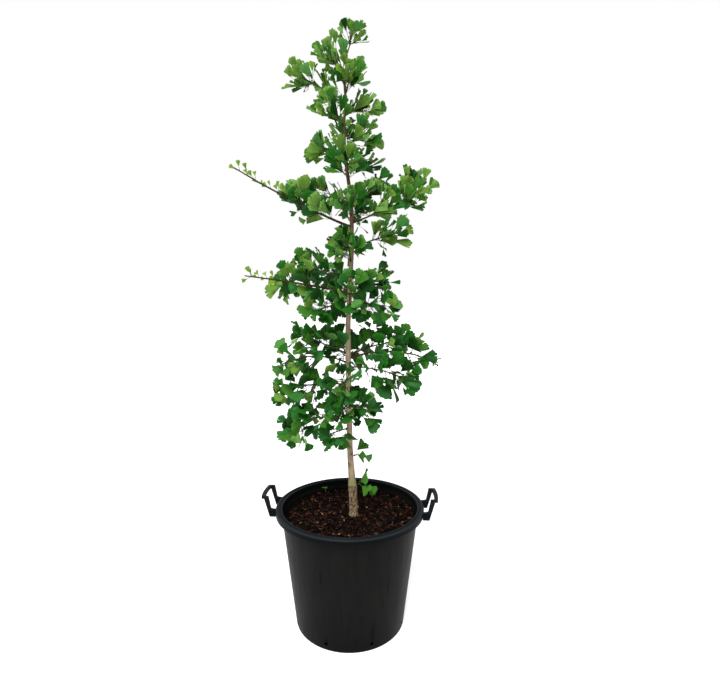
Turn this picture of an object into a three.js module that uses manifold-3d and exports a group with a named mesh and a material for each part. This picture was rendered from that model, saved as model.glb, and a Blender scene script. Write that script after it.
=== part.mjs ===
// A young ginkgo, Ginkgo biloba, about 2 m tall with its pot: a nursery tree in a 50-litre container.
// Millimetres, +Z up. The origin is the centre of the pot's flat underside; +X is right and -Y is front.
//
// The trunk stands on the soil and runs up through the crown. Limbs leave it in tiers. A long limb is a bare
// tapering bough and then a mass of foliage; a short one is a mass of foliage that starts at the trunk.
// A mass is one stem with side shoots, and fan-shaped leaves on stalks, all fused.

import * as THREE from "three";
import { mergeVertices } from "three/addons/utils/BufferGeometryUtils.js";
import Module from "manifold-3d";

const wasm = await Module();
wasm.setup();

const GAP = 0.3; // air left between pieces that touch
const MERGE = 1e-4;
const TURN = Math.PI * 2;
const UP = new THREE.Vector3(0, 0, 1);
const BACK = new THREE.Vector3(0, 1, 0);

const COLOURS = {
  pot: { color: 0x1d1e1d, roughness: 0.5, metalness: 0 },
  soil: { color: 0x2a170f, roughness: 0.95, metalness: 0 },
  bark: { color: 0x8a7558, roughness: 0.85, metalness: 0 },
  leaf: { color: 0x2f7a2c, roughness: 0.6, metalness: 0 },
};

// ---------------------------------------------------------------------------------------------------------
// Solids: three.js geometry to manifold-3d and back
// ---------------------------------------------------------------------------------------------------------

function bareGeometry(geometry) {
  const bare = geometry.clone();
  bare.deleteAttribute("normal");
  bare.deleteAttribute("uv");
  return mergeVertices(bare, MERGE);
}

function solidOf(geometry) {
  const bare = bareGeometry(geometry);
  return new wasm.Manifold(
    new wasm.Mesh({
      numProp: 3,
      vertProperties: new Float32Array(bare.attributes.position.array),
      triVerts: new Uint32Array(bare.index.array),
    }),
  );
}

function geometryOf(solid) {
  const mesh = solid.getMesh();
  return new THREE.BufferGeometry()
    .setAttribute("position", new THREE.BufferAttribute(mesh.vertProperties, 3))
    .setIndex(new THREE.BufferAttribute(mesh.triVerts, 1));
}

const tree = new THREE.Group();
tree.name = "potted_ginkgo";

function addNode(name, geometry, finish) {
  const mesh = new THREE.Mesh(geometry, new THREE.MeshStandardMaterial(COLOURS[finish]));
  mesh.name = name;
  tree.add(mesh);
  return mesh;
}

// ---------------------------------------------------------------------------------------------------------
// Pot: a thin-walled tapered tub with a rolled rim, a flat underside and drain holes round its foot
// ---------------------------------------------------------------------------------------------------------

const POT = {
  height: 400,
  footRadius: 184,
  bodyRadius: 230.5, // outside the wall, under the rim
  rimRadius: 250,
  mouthRadius: 228,
  rimDepth: 18, // how far the rolled rim hangs down outside
  rimRound: 4,
  wall: 3,
  floor: 4,
  footRound: 5,
  sides: 36,
};
const DRAIN = { count: 8, radius: 6, height: 24, firstAngle: TURN / 16 };

// a lathe turns about Y, and this stands it on Z
const LATHE_STAND = new THREE.Matrix4().makeRotationX(Math.PI / 2);

function lathe(profile, sides) {
  return bareGeometry(new THREE.LatheGeometry(profile, sides).applyMatrix4(LATHE_STAND));
}

// the inside radius of the wall at a height
function innerRadius(height) {
  const share = (height - POT.floor) / (POT.height - POT.floor);
  return THREE.MathUtils.lerp(POT.footRadius - POT.wall, POT.mouthRadius, share);
}

function potSolid() {
  const { height, footRadius, bodyRadius, rimRadius, rimDepth, rimRound, wall, floor, footRound } = POT;
  const rimFoot = height - rimDepth;
  const outside = [
    [0, 0],
    [footRadius - footRound, 0],
    [footRadius, footRound],
    [bodyRadius, rimFoot + wall],
    [rimRadius - wall, rimFoot + wall],
    [rimRadius - wall, rimFoot],
    [rimRadius, rimFoot],
    [rimRadius, height - rimRound],
    [rimRadius - rimRound * 0.3, height - rimRound * 0.3],
    [rimRadius - rimRound, height],
  ];
  const inside = [
    [innerRadius(height) + rimRound, height],
    [innerRadius(height - rimRound), height - rimRound],
    [innerRadius(floor), floor],
    [0, floor],
  ];
  const profile = [...outside, ...inside].map(([r, z]) => new THREE.Vector2(r, z));
  let pot = solidOf(lathe(profile, POT.sides));
  for (let i = 0; i < DRAIN.count; i++) {
    const angle = DRAIN.firstAngle + (i * TURN) / DRAIN.count;
    const hole = new THREE.CylinderGeometry(DRAIN.radius, DRAIN.radius, 6 * footRound, 6)
      .rotateZ(Math.PI / 2)
      .translate(footRadius, 0, DRAIN.height)
      .rotateZ(angle);
    pot = pot.subtract(solidOf(hole));
  }
  return pot;
}

addNode("pot", geometryOf(potSolid()), "pot");

// ---------------------------------------------------------------------------------------------------------
// Handles: on each side two flat arms stand on the rim's side and lean out, and a grip bar joins their tops
// ---------------------------------------------------------------------------------------------------------

const HANDLE = {
  axis: THREE.MathUtils.degToRad(-3.2), // the handles stand on a line turned a little from X
  width: 105, // across both arms
  armWidth: 9,
  footRadius: POT.rimRadius - 6, // the arms' side view starts inside the rim, which then cuts it
  footBottom: 373,
  footOuter: 265, // the lower outer corner of an arm
  footTop: 398.5, // where an arm's inner side leaves the rim
  kneeInner: 253, // and turns up
  kneeOuter: 261,
  kneeTop: 401,
  armTop: 269.5, // an arm's inner side at its top
  armOuter: 283, // its outer side under the grip
  gripBottom: 434,
  gripTop: 442,
  gripInner: 283,
  gripOuter: 296,
  gripEnd: 291, // where the grip's outer side meets the arms
  gripSegments: 6,
};

// An arm is its side view, radius against height, given a width along the rim. Its top is the grip's end.
function armGeometry(centre) {
  const h = HANDLE;
  const side = new THREE.Shape(
    [
      [h.footRadius, h.footBottom],
      [h.footOuter, h.footBottom],
      [h.armOuter, h.gripBottom],
      [h.gripEnd, h.gripBottom],
      [h.gripEnd, h.gripTop],
      [h.armTop, h.gripTop],
      [h.kneeOuter, h.kneeTop],
      [h.kneeInner, h.footTop],
      [h.footRadius, h.footTop],
    ].map(([r, z]) => new THREE.Vector2(r, z)),
  );
  return new THREE.ExtrudeGeometry(side, { depth: h.armWidth, bevelEnabled: false })
    .rotateX(Math.PI / 2)
    .translate(0, centre + h.armWidth / 2, 0);
}

// The grip is an arc of the rim's own circle, drawn in plan and given its height. It ends inside the arms.
function gripGeometry() {
  const h = HANDLE;
  const half = Math.asin((h.width / 2 - 2) / h.gripOuter);
  const plan = new THREE.Shape();
  plan.absarc(0, 0, h.gripOuter, -half, half, false);
  plan.absarc(0, 0, h.gripInner, half, -half, true);
  return new THREE.ExtrudeGeometry(plan, {
    depth: h.gripTop - h.gripBottom,
    bevelEnabled: false,
    curveSegments: h.gripSegments,
  }).translate(0, 0, h.gripBottom);
}

// The rim that the arms meet is the pot's own polygon, a gap larger, seen from the turned handle.
function handleSolid() {
  const armCentre = (HANDLE.width - HANDLE.armWidth) / 2;
  const rimRadius = POT.rimRadius + GAP / Math.cos(Math.PI / POT.sides);
  const rim = new THREE.CylinderGeometry(rimRadius, rimRadius, POT.height, POT.sides)
    .rotateX(Math.PI / 2)
    .rotateZ(-HANDLE.axis)
    .translate(0, 0, POT.height / 2);
  return wasm.Manifold.union([
    solidOf(armGeometry(armCentre)),
    solidOf(armGeometry(-armCentre)),
    solidOf(gripGeometry()),
  ]).subtract(solidOf(rim));
}

for (const [name, angle] of [
  ["handle_right", HANDLE.axis],
  ["handle_left", HANDLE.axis + Math.PI],
]) {
  addNode(name, geometryOf(handleSolid()), "pot").rotation.z = angle;
}

// ---------------------------------------------------------------------------------------------------------
// Soil: fills the pot to a little below its rim, heaped gently towards the wall, flat under the trunk
// ---------------------------------------------------------------------------------------------------------

const SOIL = { level: 361, flatRadius: 34, edgeLevel: 369 };

function soilGeometry() {
  const wallAt = (height) => innerRadius(height) - GAP / Math.cos(Math.PI / POT.sides);
  const profile = [
    [0, POT.floor + GAP],
    [wallAt(POT.floor + GAP), POT.floor + GAP],
    [wallAt(SOIL.edgeLevel), SOIL.edgeLevel],
    [SOIL.flatRadius, SOIL.level],
    [0, SOIL.level],
  ];
  return lathe(
    profile.map(([r, z]) => new THREE.Vector2(r, z)),
    POT.sides,
  );
}

addNode("soil", soilGeometry(), "soil");

// ---------------------------------------------------------------------------------------------------------
// Limbs in general: a closed tapering tube round a chain of points
// ---------------------------------------------------------------------------------------------------------

// two directions square to an axis: the first as near as it can be to the reference
function across(axis, reference = UP) {
  const side = new THREE.Vector3().crossVectors(axis, reference).normalize();
  return [new THREE.Vector3().crossVectors(side, axis), side];
}

// the point and the direction at a share of a chain's steps
function onChain(chain, share) {
  const last = chain.length - 2;
  const step = Math.min(last, Math.floor(share * (last + 1)));
  const [from, to] = [chain[step], chain[step + 1]];
  return {
    point: from.clone().lerp(to, share * (last + 1) - step),
    axis: to.clone().sub(from).normalize(),
  };
}

// Rings of points round the chain, quads between them and a fan over each end. A ring is square to the chain
// there, and an end can be given another direction to face.
function taperedLimb(chain, radii, sides, { reference = UP, firstAxis, lastAxis } = {}) {
  const last = chain.length - 1;
  const axes = chain.map((_, i) => chain[Math.min(last, i + 1)].clone().sub(chain[Math.max(0, i - 1)]));
  if (firstAxis) axes[0] = firstAxis;
  if (lastAxis) axes[last] = lastAxis;
  const points = chain.flatMap((centre, i) => {
    const [upright, side] = across(axes[i].clone().normalize(), reference);
    return Array.from({ length: sides }, (_, k) => {
      const angle = (k * TURN) / sides;
      return centre
        .clone()
        .addScaledVector(upright, Math.cos(angle) * radii[i])
        .addScaledVector(side, Math.sin(angle) * radii[i]);
    });
  });
  const faces = [];
  for (let ring = 0; ring < last; ring++) {
    for (let k = 0; k < sides; k++) {
      const a = ring * sides + k;
      const b = ring * sides + ((k + 1) % sides);
      faces.push(a, b, b + sides, a, b + sides, a + sides);
    }
  }
  const end = last * sides;
  for (let k = 1; k < sides - 1; k++) faces.push(0, k + 1, k, end, end + k, end + k + 1);
  return new THREE.BufferGeometry().setFromPoints(points).setIndex(faces);
}

// radii that fall evenly from one to the other over some steps
const taper = (first, last, steps) =>
  Array.from({ length: steps + 1 }, (_, i) => THREE.MathUtils.lerp(first, last, i / steps));

// ---------------------------------------------------------------------------------------------------------
// Trunk: from a flat cut at the soil to the leader's tip. Each station is height, x, y and diameter
// ---------------------------------------------------------------------------------------------------------

const TRUNK = {
  stations: [
    [SOIL.level + GAP, 13, 0, 34], // root flare
    [377, 12.5, 0, 28.5],
    [441, 10, 0, 28], // rootstock
    [463, 8.5, 0.5, 29.5], // graft
    [492, 6.5, 1, 23.5],
    [584, 0, 2, 20],
    [829, -4, 3, 18.5],
    [1011, -6, 4, 17],
    [1131, 1, 6, 15.5],
    [1281, 8, 8, 14],
    [1410, 6, 6, 12.5],
    [1549, -14, 2, 10.5],
    [1657, -18, 0, 9],
    [1721, -9, 3, 8],
    [1780, -18, 5, 7],
    [1830, -8, 2, 5.4],
    [1864, -5, 0, 4.2],
  ],
  sides: 8,
};
TRUNK.foot = TRUNK.stations[0][0];
TRUNK.top = TRUNK.stations.at(-1)[0];

// the trunk's axis and radius at a height
function trunkAt(height) {
  const above = TRUNK.stations.findIndex(([z]) => z > height);
  const upper = above < 0 ? TRUNK.stations.length - 1 : Math.max(1, above);
  const [from, to] = [TRUNK.stations[upper - 1], TRUNK.stations[upper]];
  const share = THREE.MathUtils.clamp((height - from[0]) / (to[0] - from[0]), 0, 1);
  const mix = (column) => THREE.MathUtils.lerp(from[column], to[column], share);
  return { axis: new THREE.Vector3(mix(1), mix(2), height), radius: mix(3) / 2 };
}

// The trunk, or the room that it needs: itself with some air round it and above it.
function trunkGeometry(air) {
  const chain = TRUNK.stations.map(([z, x, y]) => new THREE.Vector3(x, y, z));
  chain.at(-1).z += air;
  const radii = TRUNK.stations.map((row) => row[3] / 2 + air / Math.cos(Math.PI / TRUNK.sides));
  const geometry = taperedLimb(chain, radii, TRUNK.sides, { reference: BACK });
  for (let i = 0; i < TRUNK.sides; i++) geometry.attributes.position.setZ(i, TRUNK.foot); // the flat cut
  return geometry;
}

addNode("trunk", trunkGeometry(0), "bark");
const trunkRoom = solidOf(trunkGeometry(GAP));

// ---------------------------------------------------------------------------------------------------------
// The plan of the limbs, tier by tier. Of each: the height where it leaves the trunk (at), its angle (0 is
// right, 90 back, 180 left, 270 front), reach from the trunk's axis, rise to the tip, arch in the middle,
// length of its bare bough, length of its side shoots (spread), their number where it isn't worked out, the
// share of the stem from which it runs out thin, and its leaves' size where it isn't 1
// ---------------------------------------------------------------------------------------------------------

const TIERS = {
  sprout: [
    { side: "foot", at: 462, angle: 4, reach: 34, rise: 14, radius: 1.8, leafSize: 0.75 },
    { side: "low", at: 564, angle: 352, reach: 26, rise: 12, radius: 1.8, leafSize: 0.7 },
  ],
  low: [
    { side: "left", at: 684, angle: 186, reach: 194, rise: -14, arch: 30, bare: 40, spread: 82 },
    { side: "left_front", at: 666, angle: 222, reach: 86, rise: -6, spread: 46 },
    { side: "right", at: 704, angle: 344, reach: 58, rise: 28, spread: 40 },
    { side: "back", at: 704, angle: 94, reach: 145, rise: 24, arch: 15, spread: 70 },
    { side: "front", at: 752, angle: 255, reach: 100, rise: -16, spread: 58 },
  ],
  second: [
    { side: "left", at: 884, angle: 184, reach: 216, rise: 0, arch: 26, bare: 60, spread: 85 },
    { side: "left_low", at: 812, angle: 168, reach: 232, rise: -30, arch: 12, bare: 50, spread: 80 },
    { side: "left_high", at: 915, angle: 198, reach: 162, rise: 70, spread: 75 },
    { side: "right", at: 900, angle: 357, reach: 292, rise: -11, arch: 30, bare: 66, spread: 62, thin: 0.7 },
    { side: "right_high", at: 912, angle: 18, reach: 188, rise: 42, arch: 8, spread: 62 },
    { side: "right_low", at: 870, angle: 340, reach: 200, rise: -30, arch: 14, bare: 55, spread: 62 },
    { side: "back", at: 880, angle: 96, reach: 200, rise: 26, arch: 8, bare: 50, spread: 66 },
    { side: "front", at: 832, angle: 262, reach: 135, rise: -10, arch: 6, spread: 62 },
  ],
  third: [
    { side: "left", at: 1116, angle: 186, reach: 334, rise: 54, arch: 4, bare: 55, spread: 62, thin: 0.5 },
    { side: "left_high", at: 1152, angle: 164, reach: 170, rise: 60, spread: 75 },
    { side: "left_low", at: 1092, angle: 206, reach: 132, rise: -36, spread: 60 },
    { side: "right", at: 1088, angle: 348, reach: 118, rise: -14, arch: 8, spread: 62 },
    { side: "right_high", at: 1126, angle: 20, reach: 118, rise: 26, spread: 62 },
    { side: "front", at: 1108, angle: 275, reach: 88, rise: 4, spread: 56 },
    { side: "back", at: 1108, angle: 98, reach: 170, rise: 42, arch: 8, spread: 75 },
  ],
  inner: [
    { side: "front", at: 1214, angle: 262, reach: 62, rise: 58, spread: 48, shoots: 3 },
    { side: "back", at: 1228, angle: 105, reach: 62, rise: 50, spread: 40, shoots: 3 },
  ],
  fourth: [
    { side: "left", at: 1328, angle: 187, reach: 372, rise: 178, arch: -10, bare: 52, spread: 42, thin: 0.42 },
    { side: "right", at: 1342, angle: 4, reach: 244, rise: 112, arch: -6, bare: 44, spread: 74 },
    { side: "right_low", at: 1258, angle: 348, reach: 152, rise: 48, arch: 6, bare: 60, spread: 42 },
    { side: "front", at: 1362, angle: 272, reach: 85, rise: 46, spread: 50 },
    { side: "back", at: 1326, angle: 84, reach: 160, rise: 88, arch: 4, bare: 40, spread: 75 },
    { side: "left_high", at: 1396, angle: 152, reach: 110, rise: 44, spread: 55 },
    { side: "right_high", at: 1416, angle: 30, reach: 115, rise: 44, spread: 55 },
  ],
  upper: [{ side: "left", at: 1718, angle: 181, reach: 148, rise: 78, spread: 60 }],
  leader: [
    { side: "tip", at: TRUNK.top, angle: 20, reach: 10, rise: 34, radius: 1.9, spread: 30, shoots: 4 },
  ],
};

const GOLDEN = 137.5; // degrees, from each shoot or leaf to the next round its stem
const SEED = { first: 101, step: 37 };

// Short limbs in a spiral make the narrow column round the leader, each a little shorter than the one below.
const COLUMN = {
  count: 11,
  from: 1474,
  to: 1806,
  firstAngle: 270,
  reach: [76, 42],
  rise: [34, 40],
  spread: 50,
  shoots: 4,
};

const columnLimbs = Array.from({ length: COLUMN.count }, (_, i) => {
  const share = i / (COLUMN.count - 1);
  return {
    name: `column_${i + 1}`,
    at: THREE.MathUtils.lerp(COLUMN.from, COLUMN.to, share),
    angle: COLUMN.firstAngle + i * GOLDEN,
    reach: THREE.MathUtils.lerp(...COLUMN.reach, share),
    rise: THREE.MathUtils.lerp(...COLUMN.rise, share),
    spread: COLUMN.spread,
    shoots: COLUMN.shoots,
  };
});

const tierLimbs = Object.entries(TIERS).flatMap(([tier, limbs]) =>
  limbs.map(({ side, ...sizes }) => ({ name: `${tier}_${side}`, ...sizes })),
);

const LIMBS = [...tierLimbs, ...columnLimbs].map((limb, i) => ({
  arch: 0,
  bare: 0,
  spread: 0,
  thin: 1,
  leafSize: 1,
  seed: SEED.first + SEED.step * i,
  ...limb,
}));

const BOUGH = { pieces: 2, sides: 6, radiusPerReach: 0.0115, leastRadius: 2.6, taper: 0.62 };
const STEM = { pieceLength: 80, sides: 3, tipRadius: 1.9, firstLeaf: 12 };
const SHOOT = {
  spacing: 54, // along the stem
  lastShare: 0.85, // how far along the stem the last one stands
  shrink: 0.45, // how much shorter the last is than the first
  radius: 1.3,
  tipRadius: 1.2,
  firstLeaf: 16,
};
const SPACE = { nearer: 3, offTrunk: 5, offBough: 4, neighbours: 420, top: 1972 };

function limbPoint(limb, t) {
  const angle = THREE.MathUtils.degToRad(limb.angle);
  const start = trunkAt(limb.at).axis;
  return new THREE.Vector3(
    start.x + Math.cos(angle) * limb.reach * t,
    start.y + Math.sin(angle) * limb.reach * t,
    limb.at + limb.rise * t + limb.arch * 4 * t * (1 - t),
  );
}

// Each limb's bare bough, its leafy stem and their radii. The stem starts a gap past the bough's end.
for (const limb of LIMBS) {
  const leafy = limb.bare / limb.reach;
  const stemStart = limb.bare > 0 ? (limb.bare + GAP) / limb.reach : 0;
  const length = limb.reach - limb.bare;
  const pieces = Math.max(1, Math.round(length / STEM.pieceLength));
  const chain = (from, to, steps) =>
    Array.from({ length: steps + 1 }, (_, i) => limbPoint(limb, THREE.MathUtils.lerp(from, to, i / steps)));
  limb.radius ??= Math.max(BOUGH.leastRadius, limb.reach * BOUGH.radiusPerReach);
  limb.stemRadius = limb.radius * (1 - (1 - BOUGH.taper) * leafy);
  limb.bough = limb.bare > 0 ? chain(0, leafy, BOUGH.pieces) : [];
  limb.stem = chain(stemStart, 1, pieces);
  limb.path = [...limb.bough, ...limb.stem];
  if (limb.bare > 0) limb.joint = limb.stem[1].clone().sub(limb.bough.at(-2)); // the cut between faces it
  limb.stemLength = length;
  limb.leafFrom = (limb.bare > 0 ? STEM.firstLeaf : trunkAt(limb.at).radius + SPACE.offTrunk) / length;
  limb.shoots ??= limb.spread > 0 ? Math.max(1, Math.round((limb.thin * length) / SHOOT.spacing)) : 0;
}

for (const limb of LIMBS.filter(({ bare }) => bare > 0)) {
  const radii = taper(limb.radius, limb.stemRadius, BOUGH.pieces);
  const bough = solidOf(taperedLimb(limb.bough, radii, BOUGH.sides, { lastAxis: limb.joint }));
  addNode("bough_" + limb.name, geometryOf(bough.subtract(trunkRoom)), "bark");
}

// ---------------------------------------------------------------------------------------------------------
// The rule of growth: each limb draws from its own stream of random numbers, first for its shoots, then for
// the leaves on them
// ---------------------------------------------------------------------------------------------------------

function randomStream(seed) {
  const modulus = 2147483647;
  let state = seed;
  const next = () => (state = (state * 48271) % modulus) / modulus;
  for (let i = 0; i < 5; i++) next(); // leaves the small first values behind
  return (low, high) => low + (high - low) * next();
}

// a direction given by its shares along an axis, round it at a roll in degrees, and upwards
function lean(axis, forward, roll, lift) {
  const [upright, side] = across(axis);
  const angle = THREE.MathUtils.degToRad(roll);
  return new THREE.Vector3()
    .addScaledVector(axis, forward)
    .addScaledVector(upright, Math.sin(angle))
    .addScaledVector(side, Math.cos(angle))
    .addScaledVector(UP, lift)
    .normalize();
}

// shoots and leaves turn up more, the higher they stand in the tree
const RISING = { most: 0.6, from: 1000, to: 1450 };

const risingAt = (height) =>
  RISING.most * THREE.MathUtils.clamp((height - RISING.from) / (RISING.to - RISING.from), 0, 1);

// ---------------------------------------------------------------------------------------------------------
// Each limb keeps to its own space: nearer to its own path than to another limb's, and clear of the trunk
// ---------------------------------------------------------------------------------------------------------

const line = new THREE.Line3();
const foot = new THREE.Vector3();

function distanceToChain(point, chain) {
  let least = Infinity;
  for (let i = 1; i < chain.length; i++) {
    line.set(chain[i - 1], chain[i]).closestPointToPoint(point, true, foot);
    least = Math.min(least, foot.distanceTo(point));
  }
  return least;
}

function inOwnSpace(limb, probes) {
  const neighbours = LIMBS.filter(
    (other) => other !== limb && Math.abs(other.at - limb.at) < SPACE.neighbours,
  );
  return probes.every((probe) => {
    if (probe.z > SPACE.top) return false;
    const trunk = trunkAt(probe.z);
    if (probe.z < TRUNK.top && probe.distanceTo(trunk.axis) < trunk.radius + SPACE.offTrunk) return false;
    if (limb.bare > 0 && distanceToChain(probe, limb.bough) < limb.radius + SPACE.offBough) return false;
    const own = distanceToChain(probe, limb.path);
    return neighbours.every((other) => own + SPACE.nearer < distanceToChain(probe, other.path));
  });
}

// ---------------------------------------------------------------------------------------------------------
// Shoots: the stem, and side shoots that turn round it by the golden angle and get shorter towards its tip
// ---------------------------------------------------------------------------------------------------------

function shootsOf(limb, random) {
  const shoots = [
    {
      chain: limb.stem,
      length: limb.stemLength,
      radii: taper(limb.stemRadius, STEM.tipRadius, limb.stem.length - 1),
      firstAxis: limb.joint,
      leafFrom: limb.leafFrom,
      leafSize: limb.leafSize,
      young: limb.thin < 1 ? { ...LEAF.youngOnThin, from: limb.thin } : LEAF.young,
    },
  ];
  const last = Math.min(limb.thin, SHOOT.lastShare);
  for (let i = 0; i < limb.shoots; i++) {
    const share = THREE.MathUtils.lerp(limb.leafFrom, last, (i + 0.4) / limb.shoots);
    const { point, axis } = onChain(limb.stem, share);
    const roll = i * GOLDEN + random(-20, 20);
    const direction = lean(axis, random(0.45, 0.75), roll, 0.15 + risingAt(point.z) / 2);
    const length = limb.spread * (1 - SHOOT.shrink * share) * random(0.8, 1.1);
    const tip = point.clone().addScaledVector(direction, length);
    const probes = [0.3, 0.65, 1].map((part) => onChain([point, tip], part).point);
    if (!inOwnSpace(limb, probes)) continue;
    shoots.push({
      chain: [point, tip],
      length,
      radii: taper(SHOOT.radius, SHOOT.tipRadius, 1),
      leafFrom: Math.min(0.5, SHOOT.firstLeaf / length),
      leafSize: limb.leafSize,
      young: LEAF.young,
    });
  }
  return shoots;
}

// ---------------------------------------------------------------------------------------------------------
// Leaves: fans on stalks, in pairs near a shoot's foot and one by one further out
// ---------------------------------------------------------------------------------------------------------

const LEAF = {
  length: 62, // of the blade, a large leaf's, as each stands for two or three
  width: 72,
  shoulder: 0.66, // where along the blade its two corners stand
  cup: 0.08, // how far the corners stand up, as a share of the width
  stalk: 27,
  stalkRadius: 0.85, // at the blade
  rootRadius: 0.4, // inside the shoot
  spacing: 26, // along a shoot
  lastShare: 0.94, // how far along a shoot the last one stands
  young: { from: 0.65, over: 0.35, size: 0.7 }, // towards a shoot's tip they get smaller
  youngOnThin: { over: 0.12, size: 0.42 }, // and more so where a long limb runs out thin
  pairedUpTo: 0.7, // share of a shoot
  pairGap: 3.5, // between the roots of a pair
  nearest: 26, // between two blades' middles in a mass
  tries: 5, // at each root, for a leaf that has room
  light: new THREE.Vector3(0, -0.5, 0.3), // where blades turn to
};

const bladePoint = (leaf, x, y, z) =>
  leaf.base
    .clone()
    .addScaledVector(leaf.side, x * leaf.width)
    .addScaledVector(leaf.along, y * leaf.length)
    .addScaledVector(leaf.normal, z * leaf.width);

function growLeaf(shoot, share, roll, random) {
  const { point: root, axis } = onChain(shoot.chain, share);
  const age = THREE.MathUtils.clamp((share - shoot.young.from) / shoot.young.over, 0, 1);
  const size = random(0.82, 1.14) * THREE.MathUtils.lerp(1, shoot.young.size, age) * shoot.leafSize;
  const rising = risingAt(root.z);
  const stalkWay = lean(axis, random(0.3, 0.8), roll, 0.3 + rising);
  const base = root.clone().addScaledVector(stalkWay, LEAF.stalk * size * random(0.75, 1.25));
  const outward = base.clone().sub(trunkAt(base.z).axis).setZ(0).normalize();
  const along = stalkWay
    .clone()
    .addScaledVector(outward, 0.25)
    .addScaledVector(UP, random(-0.45, 0.15) + rising)
    .normalize();
  const face = new THREE.Vector3(random(-0.6, 0.6), random(-0.6, 0.6), random(-0.4, 0.4))
    .add(LEAF.light)
    .addScaledVector(outward, 0.25)
    .normalize();
  const side = new THREE.Vector3().crossVectors(along, face).normalize();
  const normal = new THREE.Vector3().crossVectors(side, along);
  const width = LEAF.width * size * random(0.85, 1.1);
  const leaf = { root, base, along, side, normal, length: LEAF.length * size, width };
  leaf.left = bladePoint(leaf, -0.5, LEAF.shoulder, LEAF.cup);
  leaf.top = bladePoint(leaf, 0, 1, 0);
  leaf.right = bladePoint(leaf, 0.5, LEAF.shoulder, LEAF.cup);
  leaf.middle = bladePoint(leaf, 0, 0.55, 0);
  return leaf;
}

// points on the stalk and all over the blade
function leafProbes(leaf) {
  const probes = [onChain([leaf.root, leaf.base], 0.5).point, leaf.base, leaf.top];
  for (const corner of [leaf.left, leaf.right]) {
    for (const share of [0.35, 0.7, 1]) {
      probes.push(onChain([leaf.base, corner], share).point, onChain([leaf.middle, corner], share).point);
    }
    probes.push(onChain([corner, leaf.top], 0.5).point);
  }
  return [...probes, leaf.middle];
}

const ray = new THREE.Ray();
const hit = new THREE.Vector3();

// Whether an edge or the stalk of one leaf goes through the other's blade.
function pierces(leaf, other) {
  const outline = [leaf.root, leaf.base, leaf.left, leaf.top, leaf.right, leaf.base];
  return outline.slice(1).some((to, i) => {
    const from = outline[i];
    ray.set(from, to.clone().sub(from).normalize());
    return [other.left, other.right].some(
      (corner) =>
        ray.intersectTriangle(other.base, corner, other.top, false, hit) &&
        hit.distanceTo(from) < to.distanceTo(from),
    );
  });
}

// whether a leaf has room: in its limb's space, not cutting another leaf nor too near one
function hasRoom(limb, leaf, leaves) {
  const crowded = leaves.some(
    (other) =>
      other.middle.distanceTo(leaf.middle) < LEAF.nearest || pierces(leaf, other) || pierces(other, leaf),
  );
  return !crowded && inOwnSpace(limb, leafProbes(leaf));
}

function leavesOf(limb, shoots, random) {
  const leaves = [];
  for (const shoot of shoots) {
    const nodes = Math.max(2, Math.round((shoot.length * (1 - shoot.leafFrom)) / LEAF.spacing) + 1);
    for (let i = 0; i < nodes; i++) {
      const share = THREE.MathUtils.lerp(shoot.leafFrom, LEAF.lastShare, i / (nodes - 1));
      const cluster = share < Math.min(shoot.young.from, LEAF.pairedUpTo) || i === nodes - 1 ? 2 : 1;
      for (let k = 0; k < cluster; k++) {
        const rootShare = share - (k * LEAF.pairGap) / shoot.length;
        for (let attempt = 0; attempt < LEAF.tries; attempt++) {
          const roll = (2 * i + k + attempt) * GOLDEN + random(-30, 30);
          const leaf = growLeaf(shoot, rootShare, roll, random);
          if (hasRoom(limb, leaf, leaves)) {
            leaves.push(leaf);
            break;
          }
        }
      }
    }
  }
  return leaves;
}

// A leaf's solid: a three-sided stalk from its root to the blade, and a thin kite, thickest at the stalk.
// Its points are 0-2 the stalk's root, 3-5 its end, 6 the left corner, 7 the top and 8 the right corner.
const LEAF_FACES = [
  [[3, 4, 7], [4, 8, 7], [3, 7, 6]], // upper face
  [[5, 3, 6], [5, 6, 7], [5, 7, 8], [5, 8, 4]], // lower face
  [[4, 3, 0], [4, 0, 1], [5, 4, 1], [5, 1, 2], [3, 5, 2], [3, 2, 0]], // the stalk's sides
  [[0, 2, 1]], // the stalk's root
].flat(2);

function leafGeometry(leaf) {
  const ring = (centre, radius) =>
    [
      [-radius, radius / 2],
      [radius, radius / 2],
      [0, -radius],
    ].map(([x, z]) => centre.clone().addScaledVector(leaf.side, x).addScaledVector(leaf.normal, z));
  const points = [
    ...ring(leaf.root, LEAF.rootRadius),
    ...ring(leaf.base, LEAF.stalkRadius),
    leaf.left,
    leaf.top,
    leaf.right,
  ];
  return new THREE.BufferGeometry().setFromPoints(points).setIndex(LEAF_FACES);
}

for (const limb of LIMBS) {
  const random = randomStream(limb.seed);
  const shoots = shootsOf(limb, random);
  const leaves = leavesOf(limb, shoots, random);
  const mass = wasm.Manifold.union([
    ...shoots.map(({ chain, radii, firstAxis }) =>
      solidOf(taperedLimb(chain, radii, STEM.sides, { firstAxis })),
    ),
    ...leaves.map((leaf) => solidOf(leafGeometry(leaf))),
  ]).subtract(trunkRoom);
  addNode("foliage_" + limb.name, geometryOf(mass), "leaf");
}

export default tree;
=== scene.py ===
"""A young ginkgo about 2 m tall in a 50-litre black nursery container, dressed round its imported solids.

The frame is the part's own: the origin is the centre of the pot's flat underside, +Z is up, -Y is the front.
Sizes are in millimetres and become metres where a mesh is made.
"""

import math

import bpy
import numpy as np
from mathutils import Euler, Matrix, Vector, noise


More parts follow.
